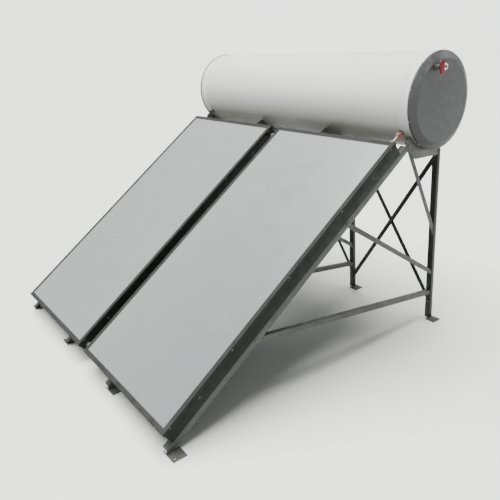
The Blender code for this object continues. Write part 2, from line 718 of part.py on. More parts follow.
for level_name, level in zip(("lower", "upper"), HEADER_LEVELS):
    # Compression union over the two header stubs: nut, body, nut.
    grip = (HEADER_RADIUS + GAP) / math.cos(HEADER_SPIN)
    half_waist, waist = UNION_WAIST
    profile = [
        (UNION_HALF_LENGTH, grip), (UNION_HALF_LENGTH, UNION_RADIUS), (half_waist, UNION_RADIUS),
        (half_waist, waist), (-half_waist, waist), (-half_waist, UNION_RADIUS),
        (-UNION_HALF_LENGTH, UNION_RADIUS), (-UNION_HALF_LENGTH, grip),
    ]
    union = turned_mesh(f"header_union_{level_name}", profile, 12)
    add_part(f"header_union_{level_name}", union, BRASS, on_slope(0, level, HEADER_DEPTH))


# ---- tank -----------------------------------------------------------------------------------------
tank = empty("tank_axis", (0, TANK_Y, TANK_Z))
SIDE_PORT = DOWN_SLOPE
END_PORTS = {"relief": VALVE_Y, "outlet": OUTLET_Y}


def vessel_profile(offset):
    """The vessel's outer shape grown by offset: barrel and two shallow dished ends, axis to axis."""
    radius = VESSEL_RADIUS + offset
    depth = VESSEL_DISH + offset
    steps = 4
    half = []
    for step in range(steps + 1):
        angle = math.pi / 2 * step / steps
        half.append((VESSEL_HALF_BARREL + depth * math.cos(angle), radius * math.sin(angle)))
    return half + [(-x, r) for x, r in reversed(half)]


def port_lines():
    """name, start and end of each nipple, in the tank's frame."""
    root = VESSEL_RADIUS - NIPPLE_ROOT
    lines = []
    for name, y in END_PORTS.items():
        inside = VESSEL_HALF_BARREL - NIPPLE_ROOT / 2
        lines.append((name, (inside, y, END_PORT_Z), (CAP_FACE + END_NIPPLE, y, END_PORT_Z)))
    for name, x in (("riser", PORT_X), ("downcomer", -PORT_X)):
        side = Vector((x, 0, 0))
        lines.append((name, side + SIDE_PORT * root, side + SIDE_PORT * NIPPLE_REACH))
    lines.append(("inlet", (INLET_X, 0, -root), (INLET_X, 0, -INLET_REACH)))
    return lines


vessel = turned_mesh("inner_tank", vessel_profile(0), VESSEL_SIDES, False)
vessel = add_part("inner_tank", vessel, VESSEL_STEEL, parent=tank)
for port, start, end in port_lines():
    cut(vessel, add_cutter(f"{port}_nipple", rod_mesh(port, start, end, NIPPLE_RADIUS), parent=tank), "UNION")
water = turned_mesh("water_space", vessel_profile(-VESSEL_WALL), VESSEL_SIDES, False)
cut(vessel, add_cutter("water_space", water, parent=tank))
for port, start, end in port_lines():
    start, end = Vector(start), Vector(end)
    inward = (start - end).normalized() * (NIPPLE_ROOT + 3 * VESSEL_WALL)
    bore = rod_mesh(f"{port}_bore", start + inward, end - inward, NIPPLE_BORE)
    cut(vessel, add_cutter(f"{port}_bore", bore, parent=tank))
anode_end = -(VESSEL_HALF_BARREL + VESSEL_DISH)
anode_ends = (anode_end + 2 * ANODE_HEAD, 0, 0), (anode_end - 2 * ANODE_HEAD, 0, 0)
anode_hole = rod_mesh("anode_hole", *anode_ends, ANODE_RADIUS + GAP)
cut(vessel, add_cutter("anode_hole", anode_hole, parent=tank))

anode_head = anode_end - GAP
anode = turned_mesh("anode_rod", [
    (anode_end + ANODE_LENGTH, 0), (anode_end + ANODE_LENGTH, ANODE_RADIUS), (anode_head, ANODE_RADIUS),
    (anode_head, ANODE_HEAD_RADIUS), (anode_head - ANODE_HEAD, ANODE_HEAD_RADIUS),
    (anode_head - ANODE_HEAD, 0),
], 12, False)
add_part("anode_rod", anode, MAGNESIUM, parent=tank)

foam_end = CAP_FACE - CAP_WALL - 2 * GAP
foam_radius = JACKET_RADIUS - JACKET_WALL - 2 * GAP
foam_shoulder = CAP_FACE_RADIUS - CAP_WALL - FOAM_SHOULDER_INSET
foam = turned_mesh("foam_insulation", [
    (foam_end, 0), (foam_end, foam_shoulder), (CAP_SKIRT_START, foam_radius),
    (-CAP_SKIRT_START, foam_radius), (-foam_end, foam_shoulder), (-foam_end, 0),
], JACKET_SIDES, False)
foam = add_part("foam_insulation", foam, FOAM, parent=tank)
foam_hollow = turned_mesh("foam_hollow", vessel_profile(2 * GAP), VESSEL_SIDES, False)
cut(foam, add_cutter("foam_hollow", foam_hollow, parent=tank))
for port, start, end in port_lines():
    start, end = Vector(start), Vector(end)
    beyond = (end - start).normalized() * NIPPLE_ROOT / 2
    room = rod_mesh(f"{port}_room", start - beyond, end + beyond, NIPPLE_RADIUS + 2 * GAP)
    cut(foam, add_cutter(f"{port}_room", room, parent=tank))
room_ends = (anode_end + 2 * ANODE_HEAD, 0, 0), (-CAP_FACE - ANODE_HEAD, 0, 0)
anode_room = rod_mesh("anode_room", *room_ends, ANODE_HEAD_RADIUS + 5 * GAP)
cut(foam, add_cutter("anode_room", anode_room, parent=tank))

jacket = turned_mesh("tank_jacket", [
    (JACKET_HALF_LENGTH, JACKET_RADIUS - JACKET_WALL), (JACKET_HALF_LENGTH, JACKET_RADIUS),
    (-JACKET_HALF_LENGTH, JACKET_RADIUS), (-JACKET_HALF_LENGTH, JACKET_RADIUS - JACKET_WALL),
], JACKET_SIDES)
jacket = add_part("tank_jacket", jacket, JACKET_PAINT, parent=tank)
for port, start, end in port_lines():
    if port not in END_PORTS:
        hole = rod_mesh(f"{port}_jacket_hole", start, end, NIPPLE_RADIUS + JACKET_HOLE_ROOM)
        cut(jacket, add_cutter(f"{port}_jacket_hole", hole, parent=tank))


def cap_profile():
    """Moulded end cap from its face over the cone to the skirt, and back along the inside."""
    cone = math.atan2(CAP_RADIUS - CAP_FACE_RADIUS, CAP_FACE - CAP_SKIRT_END)
    inner_corner = CAP_WALL * math.tan(cone / 2)
    inner_face = CAP_WALL * math.tan((math.pi / 2 - cone) / 2)
    return [
        (CAP_FACE, 0), (CAP_FACE, CAP_FACE_RADIUS),
        (CAP_SKIRT_END, CAP_RADIUS), (CAP_SKIRT_START, CAP_RADIUS),
        (CAP_SKIRT_START, CAP_RADIUS - CAP_WALL), (CAP_SKIRT_END - inner_corner, CAP_RADIUS - CAP_WALL),
        (CAP_FACE - CAP_WALL, CAP_FACE_RADIUS - inner_face), (CAP_FACE - CAP_WALL, 0),
    ]


for cap_name, turn in (("end_cap_right", 0), ("end_cap_left", math.pi)):
    cap = turned_mesh(cap_name, cap_profile(), JACKET_SIDES, False)
    cap = add_part(cap_name, cap, CAP_PLASTIC, rotation=(0, 0, turn), parent=tank)
    if turn == 0:
        for port, y in END_PORTS.items():
            ends = (CAP_SKIRT_END, y, END_PORT_Z), (CAP_FACE + END_NIPPLE, y, END_PORT_Z)
            hole = rod_mesh(f"{port}_cap_hole", *ends, NIPPLE_RADIUS + 3 * GAP)
            cut(cap, add_cutter(f"{port}_cap_hole", hole, parent=tank))

# Fittings on the right cap: lengths are measured outwards from the cap's face, and each has a socket over
# the vessel's nipple.
SOCKET = NIPPLE_RADIUS + GAP
SOCKET_END = END_NIPPLE + GAP
OUTLET_END = 0.034
OUTLET_RADIUS = 0.018
OUTLET_COLLAR = 0.014


def port_empty(name, y):
    return empty(name, (CAP_FACE, TANK_Y + y, TANK_Z + END_PORT_Z))


outlet = turned_mesh("hot_outlet", [
    (OUTLET_END, NIPPLE_BORE), (OUTLET_END, OUTLET_RADIUS - 0.0015), (OUTLET_END - 0.004, OUTLET_RADIUS),
    (OUTLET_COLLAR, OUTLET_RADIUS), (OUTLET_COLLAR - 0.004, OUTLET_RADIUS + 0.001),
    (GAP, OUTLET_RADIUS + 0.001), (GAP, SOCKET), (SOCKET_END, SOCKET), (SOCKET_END, NIPPLE_BORE),
], 20)
add_part("hot_outlet", outlet, WHITE_PLASTIC, parent=port_empty("hot_outlet_axis", OUTLET_Y))

# Relief valve: body with a chamber, the spindle in it, and the sprung test lever in front.
valve = port_empty("relief_valve_axis", VALVE_Y)
CHAMBER_RADIUS = 0.0088
CHAMBER_END = 0.03
BODY_FRONT = 0.034
BODY_RADIUS = 0.015
BODY_NECK = 0.016                 # where the body narrows from its hexagon-sized foot
BODY_FOOT_RADIUS = 0.018
SPINDLE_RADIUS = 0.004
SPINDLE_DISC = 0.0082
SPINDLE_HEAD = 0.006
HINGE_X = 0.036
HINGE_Z = 0.03
HINGE_RADIUS = 0.005
PIN_RADIUS = 0.0025
LUG_WIDTH = 0.008
body = turned_mesh("relief_valve_body", [
    (BODY_FRONT, SPINDLE_RADIUS + GAP), (BODY_FRONT, BODY_RADIUS - 0.0025), (CHAMBER_END, BODY_RADIUS),
    (BODY_NECK, BODY_RADIUS), (BODY_NECK - 0.003, BODY_FOOT_RADIUS),
    (GAP, BODY_FOOT_RADIUS), (GAP, SOCKET), (SOCKET_END, SOCKET), (SOCKET_END, CHAMBER_RADIUS),
    (CHAMBER_END, CHAMBER_RADIUS), (CHAMBER_END, SPINDLE_RADIUS + GAP),
], 18)
body = add_part("relief_valve_body", body, BRASS, parent=valve)

lug_outline = arc((HINGE_X, HINGE_Z), HINGE_RADIUS, 0, math.pi, 6)
# The lug's root is sunk in the body, and its front edge slopes down to clear the spindle's head.
lug_outline += [(HINGE_X - HINGE_RADIUS, 0.012), (HINGE_X - HINGE_RADIUS / 2, 0.011),
                (HINGE_X + HINGE_RADIUS, 0.02)]
lug = upright(outline_mesh("hinge_lug", [lug_outline], LUG_WIDTH))
cut(body, add_cutter("hinge_lug", lug, parent=valve), "UNION")
hole_ends = (HINGE_X, -LUG_WIDTH, HINGE_Z), (HINGE_X, LUG_WIDTH, HINGE_Z)
pin_hole = rod_mesh("hinge_hole", *hole_ends, PIN_RADIUS + GAP)
cut(body, add_cutter("hinge_hole", pin_hole, parent=valve))

HEAD_BACK = BODY_FRONT + 2 * GAP
SEAT = 0.0115
spindle = turned_mesh("relief_valve_spindle", [
    (HEAD_BACK + 0.004, 0), (HEAD_BACK + 0.004, SPINDLE_HEAD), (HEAD_BACK, SPINDLE_HEAD),
    (HEAD_BACK, SPINDLE_RADIUS), (SEAT + 0.0035, SPINDLE_RADIUS), (SEAT + 0.0035, SPINDLE_DISC),
    (SEAT, SPINDLE_DISC), (SEAT, 0),
], 12, False)
add_part("relief_valve_spindle", spindle, BRASS, parent=valve)

# The lever's own dimensions are measured from its hinge axis.
hinge = empty("lever_hinge", (CAP_FACE + HINGE_X, TANK_Y + VALVE_Y, TANK_Z + END_PORT_Z + HINGE_Z))
LEVER_INNER = 0.006
LEVER_THICKNESS = LEVER_REACH - HINGE_X - LEVER_INNER
LEVER_WIDTH = 0.04
LEVER_TOP = 0.006
LEVER_TOP_HALF = 0.013            # half width of its top edge, between the sloped shoulders
LEVER_SHOULDER = 0.008
LEVER_BOTTOM = -0.068
EAR_INNER = LUG_WIDTH / 2 + 2 * GAP
EAR_THICKNESS = 0.0035
EAR_OVERLAP = 0.001


def lever_outline():
    """The handle seen from the front: sloped shoulders and a round lower end."""
    radius = LEVER_WIDTH / 2
    bottom = arc((0, LEVER_BOTTOM + radius), radius, math.pi, math.tau, 10)
    shoulder = LEVER_TOP - LEVER_SHOULDER
    top = [(radius, shoulder), (LEVER_TOP_HALF, LEVER_TOP), (-LEVER_TOP_HALF, LEVER_TOP), (-radius, shoulder)]
    return bottom + top


handle = facing(outline_mesh("relief_valve_lever", [lever_outline()], LEVER_THICKNESS))
handle.transform(Matrix.Translation((LEVER_INNER + LEVER_THICKNESS / 2, 0, 0)))
lever = add_part("relief_valve_lever", handle, RED_PLASTIC, parent=hinge)
ear_outline = arc((0, 0), HINGE_RADIUS, math.pi / 2, 3 * math.pi / 2, 6)
ear_root = LEVER_INNER + EAR_OVERLAP
ear_outline += [(ear_root, -HINGE_RADIUS), (ear_root, HINGE_RADIUS)]
for ear_name, sign in (("ear_front", -1), ("ear_back", 1)):
    ear = upright(outline_mesh(ear_name, [ear_outline], EAR_THICKNESS))
    ear.transform(Matrix.Translation((0, sign * (EAR_INNER + EAR_THICKNESS / 2), 0)))
    cut(lever, add_cutter(ear_name, ear, parent=hinge), "UNION")
pin_reach = EAR_INNER + EAR_THICKNESS + EAR_OVERLAP
pin = rod_mesh("hinge_pin", (0, -pin_reach, 0), (0, pin_reach, 0), PIN_RADIUS)
cut(lever, add_cutter("hinge_pin", pin, parent=hinge), "UNION")


# ---- pipes between the tank and the collectors ------------------------------------------------------
# Riser: two union nuts and a short pipe, turned about the line from the header branch to the tank.
TANK_NUT = 0.0185                 # nut radii at the tank's end and at the header's
HEADER_NUT = 0.0175
NUT_LENGTH = 0.026
RISER_PIPE = 0.013
riser_low = COLLECTOR_LENGTH + RISER_BRANCH + GAP
riser_high = TANK_ALONG - NIPPLE_REACH - GAP
riser_length = riser_high - riser_low
half = riser_length / 2
riser = turned_mesh("riser_pipe", [
    (half, NIPPLE_BORE), (half, TANK_NUT), (half - NUT_LENGTH, TANK_NUT),
    (half - NUT_LENGTH - 0.004, RISER_PIPE), (-half + NUT_LENGTH + 0.002, RISER_PIPE),
    (-half + NUT_LENGTH - 0.002, HEADER_NUT), (-half, HEADER_NUT), (-half, NIPPLE_BORE),
], 18)
add_part("riser_pipe", riser, BRASS, on_slope(PORT_X, (riser_low + riser_high) / 2, HEADER_DEPTH),
         (0, -TILT, math.pi / 2))

# Downcomer: leaves the tank in line with the riser, drops between tank and collector and runs down
# under the left collector to its lower header.
under = COLLECTOR_DEPTH + PIPE_CLEARANCE
downcomer_corners = [
    on_slope(-PORT_X, TANK_ALONG - NIPPLE_REACH - GAP, HEADER_DEPTH),
    on_slope(-PORT_X, PIPE_DROP, HEADER_DEPTH),
    on_slope(-PORT_X, PIPE_DROP, under),
    on_slope(-PORT_X, HEADER_INSET, under),
    on_slope(-PORT_X, HEADER_INSET, COLLECTOR_DEPTH + DOWNCOMER_BRANCH + GAP),
]
downcomer = tube_mesh("downcomer_pipe", rounded_route(downcomer_corners, PIPE_BEND), PIPE_RADIUS)
add_part("downcomer_pipe", downcomer, COPPER)
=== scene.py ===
"""Looks of a thermosiphon solar water heater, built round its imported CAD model.

Metres, +Z up, +X along the tank towards the valve end, +Y to the back, in the CAD model's frame. The
stand's bars and plates keep the CAD shapes with crisp bevelled edges. The tank's skin, the glazing frames
and the pipe fittings are built again here in finer detail, and fasteners, welds, seams and seals are added.
"""

import json
import math

import bmesh
import bpy
from mathutils import Matrix, Vector


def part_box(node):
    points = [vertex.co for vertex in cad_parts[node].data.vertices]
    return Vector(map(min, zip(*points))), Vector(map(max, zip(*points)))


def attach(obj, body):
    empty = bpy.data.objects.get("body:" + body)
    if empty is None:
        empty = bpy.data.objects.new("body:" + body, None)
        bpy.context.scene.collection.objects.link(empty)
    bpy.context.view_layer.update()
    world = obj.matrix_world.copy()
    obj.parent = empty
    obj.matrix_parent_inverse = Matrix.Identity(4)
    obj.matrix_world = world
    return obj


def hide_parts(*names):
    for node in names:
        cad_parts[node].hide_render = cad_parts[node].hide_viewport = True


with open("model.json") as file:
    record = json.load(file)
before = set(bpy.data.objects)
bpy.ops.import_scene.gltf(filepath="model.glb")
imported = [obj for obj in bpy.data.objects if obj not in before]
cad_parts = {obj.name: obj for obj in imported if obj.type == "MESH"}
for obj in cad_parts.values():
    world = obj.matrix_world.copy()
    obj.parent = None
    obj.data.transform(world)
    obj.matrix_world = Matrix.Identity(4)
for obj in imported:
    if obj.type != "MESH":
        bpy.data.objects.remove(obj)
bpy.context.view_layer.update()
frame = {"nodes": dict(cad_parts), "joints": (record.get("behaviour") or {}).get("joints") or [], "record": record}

BODY = "heater"
LEVER_BODY = "test_lever"
X_AXIS, Y_AXIS, Z_AXIS = Vector((1, 0, 0)), Vector((0, 1, 0)), Vector((0, 0, 1))

# ---- places and sizes taken from the frame ----
TILT = math.radians(35.3)
COS_TILT, SIN_TILT = math.cos(TILT), math.sin(TILT)
UP_SLOPE = Vector((0, COS_TILT, SIN_TILT))
OUT_OF_GLAZING = Vector((0, -SIN_TILT, COS_TILT))

left_low, left_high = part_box("glazing_frame_left")
right_low, right_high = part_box("glazing_frame_right")
COLLECTOR_WIDTH = left_high.x - left_low.x
COLLECTOR_LENGTH = 2.0
COLLECTOR_DEPTH = 0.088
EDGE = Vector(((left_high.x + right_low.x) / 2, left_low.y, left_high.z - COLLECTOR_LENGTH * SIN_TILT))
COLLECTORS = {
    "left": ((left_low.x + left_high.x) / 2, -1),
    "right": ((right_low.x + right_high.x) / 2, 1),
}

jacket_low, jacket_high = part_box("tank_jacket")
TANK = (jacket_low + jacket_high) / 2
JACKET_RADIUS = (jacket_high.y - jacket_low.y) / 2
JACKET_HALF = (jacket_high.x - jacket_low.x) / 2
cap_low, cap_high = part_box("end_cap_right")
CAP_RADIUS = (cap_high.y - cap_low.y) / 2
CAP_FACE = cap_high.x - TANK.x
CAP_START = cap_low.x - TANK.x

FRAME_COUNT = 4
GAP = 0.0003  # clearance between the stand's bars
RAIL_DEPTH = COLLECTOR_DEPTH + GAP
ANGLE = 0.04
STEEL = 0.004
STRUT_STEEL = 0.003
LEG_FRONT = -0.005  # front face of a rear leg's flange, behind the leg's centre line
LEG_BACK = 0.02  # back edge of its web
LEG_LEAN = math.radians(1.8)
UP_LEG = Vector((0, -math.sin(LEG_LEAN), math.cos(LEG_LEAN)))
BEHIND_LEG = Vector((0, math.cos(LEG_LEAN), math.sin(LEG_LEAN)))


def middle_of(node):
    low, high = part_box(node)
    return (low + high) / 2


LEG_FOOT_Y = middle_of("rear_foot_4").y


def frame_outer_x(index):
    """World x of the outer face of a side frame, and +1 or -1 for the outward side."""
    low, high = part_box(f"sloping_rail_{index + 1}")
    outward = -1 if index < FRAME_COUNT / 2 else 1
    return (low.x if outward < 0 else high.x), outward


def on_slope(x, along, depth):
    """World point `along` the slope and `depth` below the glazing plane; x is a world x."""
    point = EDGE + UP_SLOPE * along - OUT_OF_GLAZING * depth
    return Vector((x, point.y, point.z))


def on_leg(x, height, behind=0.0):
    """World point at a height on a rear leg, `behind` its centre line."""
    foot = Vector((x, LEG_FOOT_Y, 0))
    return foot + UP_LEG * (height / math.cos(LEG_LEAN)) + BEHIND_LEG * behind


def placed(point, along, across=None, turn=0.0):
    """Matrix with local Z on `along` and local X near `across`, then turned about Z; origin at point."""
    along = Vector(along).normalized()
    if across is None:
        across = X_AXIS if abs(along.x) < 0.9 else Y_AXIS
    side = along.cross(Vector(across)).normalized()
    across = side.cross(along)
    axes = Matrix((across, side, along)).transposed().to_4x4()
    return Matrix.Translation(point) @ axes @ Matrix.Rotation(turn, 4, "Z")


FLIP = Matrix.Rotation(math.pi, 4, "X")  # turns a place's local Z round to point the other way


# ---- materials ----
class Graph:
    """A shader node tree, built node by node."""

    def __init__(self, owner):
        owner.use_nodes = True
        self.nodes = owner.node_tree.nodes
        self.links = owner.node_tree.links

    def feed(self, socket, value):
        if isinstance(value, bpy.types.NodeSocket):
            self.links.new(value, socket)
        else:
            socket.default_value = value

    def add(self, kind, sockets, **settings):
        """Outputs of a new node whose sockets are linked or set to numbers."""
        node = self.nodes.new("ShaderNode" + kind)
        for setting, value in settings.items():
            setattr(node, setting, value)
        for socket, value in sockets.items():
            self.feed(node.inputs[socket], value)
        return node.outputs

    def part_of(self, vector, axis):
        return self.add("SeparateXYZ", {0: vector})[axis]

    def ranged(self, value, low, high, to_low=0.0, to_high=1.0, **settings):
        sockets = {"Value": value, "From Min": low, "From Max": high, "To Min": to_low, "To Max": to_high}
        return self.add("MapRange", sockets, **settings)["Result"]

    def product(self, first, second):
        return self.add("Math", {0: first, 1: second}, operation="MULTIPLY")[0]

    def blend(self, mask, under, over):
        """The colour under where the mask is 0, and the colour over where it is 1."""
        return self.add("Mix", {"Factor": mask, 6: under, 7: over}, data_type="RGBA")[2]


class Surface(Graph):
    """A procedural material: tone patches, fine grain, bump, worn edges, settled dust, and painted shade and
    highlight.
    """

    def __init__(self, name, colour, roughness, metallic=0.0, specular=0.5, coat=0.0):
        self.name = name
        self.material = bpy.data.materials.new(name)
        super().__init__(self.material)
        self.shader = self.nodes["Principled BSDF"].inputs
        values = {"Metallic": metallic, "Roughness": roughness, "Specular IOR Level": specular,
                  "Coat Weight": coat, "Coat Roughness": 0.08}
        for socket, value in values.items():
            self.shader[socket].default_value = value
        self.place = self.add("TexCoord", {})["Object"]
        self.colour = (*colour, 1)
        self.roughness = roughness
        self.height = None

    def noise(self, scale, detail=3.0, stretch=None):
        place = self.place
        if stretch:
            place = self.add("Mapping", {"Vector": place, "Scale": stretch})["Vector"]
        return self.add("TexNoise", {"Vector": place, "Scale": scale, "Detail": detail})["Fac"]

    def mixed(self, mask, colour):
        """Lays another colour over the present one where the mask is 1."""
        self.colour = self.blend(mask, self.colour, (*colour, 1))
        return self

    def patches(self, colour, scale, share=0.5, stretch=None, detail=4.0):
        """Soft patches of a second tone; share is how strongly they show."""
        mask = self.ranged(self.noise(scale, detail, stretch), 0.35, 0.68, 0.0, share)
        return self.mixed(mask, colour)

    def specks(self, colour, scale, share=0.6, edge=0.66):
        """Small sharp-edged specks, as of chips or dust grains."""
        mask = self.ranged(self.noise(scale, 6.0), edge, edge + 0.05, 0.0, share)
        return self.mixed(mask, colour)

    def worn_edges(self, colour, radius=0.0015, share=0.8):
        """Paler or barer edges, found from how much a rounded normal differs from the true one."""
        rounded = self.add("Bevel", {"Radius": radius}, samples=4)["Normal"]
        dot = self.add("VectorMath", {0: rounded, 1: self.normal()}, operation="DOT_PRODUCT")["Value"]
        edge = self.ranged(dot, 0.995, 0.9)
        broken = self.ranged(self.noise(90.0, 5.0), 0.4, 0.62, 0.0, share)
        return self.mixed(self.product(edge, broken), colour)

    def dust_and_painted_highlight(self, colour, share=0.3, start=0.3, full=0.95):
        """Dust that has settled on what faces up; where it is strong, as on the cap, it is also a painted
        highlight.
        """
        facing_up = self.ranged(self.part_of(self.normal(), "Z"), start, full)
        patchy = self.ranged(self.noise(14.0, 5.0), 0.3, 0.7, 0.0, share)
        return self.mixed(self.product(facing_up, patchy), colour)

    def painted_underside_shade(self, colour, share, start=0.2, full=-0.8):
        """Painted shade on what faces down, growing from one height of the normal to the other."""
        facing_down = self.ranged(self.part_of(self.normal(), "Z"), start, full)
        patchy = self.ranged(self.noise(3.0, 4.0, (0.3, 1, 1)), 0.25, 0.6, share * 0.7, share)
        return self.mixed(self.product(facing_down, patchy), colour)

    def normal(self):
        return self.add("NewGeometry", {})["Normal"]

    def painted_shade_ramp(self, axis, colour, start, end, share):
        """Painted shade: a second tone that grows along one axis of the object, from start to end."""
        return self.mixed(self.ranged(self.part_of(self.place, axis), start, end, 0.0, share), colour)

    def uneven_gloss(self, spread, scale=30.0, stretch=None):
        low, high = self.roughness - spread, self.roughness + spread
        self.feed(self.shader["Roughness"], self.ranged(self.noise(scale, 4.0, stretch), 0.3, 0.7, low, high))
        return self

    def relief(self, scale, depth, detail=3.0, stretch=None):
        """Bump of the given depth in metres from noise; several calls add up."""
        sockets = {"Strength": 1.0, "Distance": depth, "Height": self.noise(scale, detail, stretch)}
        if self.height:
            sockets["Normal"] = self.height
        self.height = self.add("Bump", sockets)["Normal"]
        return self

    def done(self):
        self.feed(self.shader["Base Color"], self.colour)
        if self.height:
            self.feed(self.shader["Normal"], self.height)
        return self.material


UNDERSIDE_SHADE = ((0.13, 0.13, 0.111), 0.9, 0.25, -0.55)  # painted shade on what faces down: colour, share, and heights of the normal
# deeper painted shade on the lowest part
LOWEST_SHADE = ((0.06, 0.06, 0.05), 0.9, -0.5, -0.85)


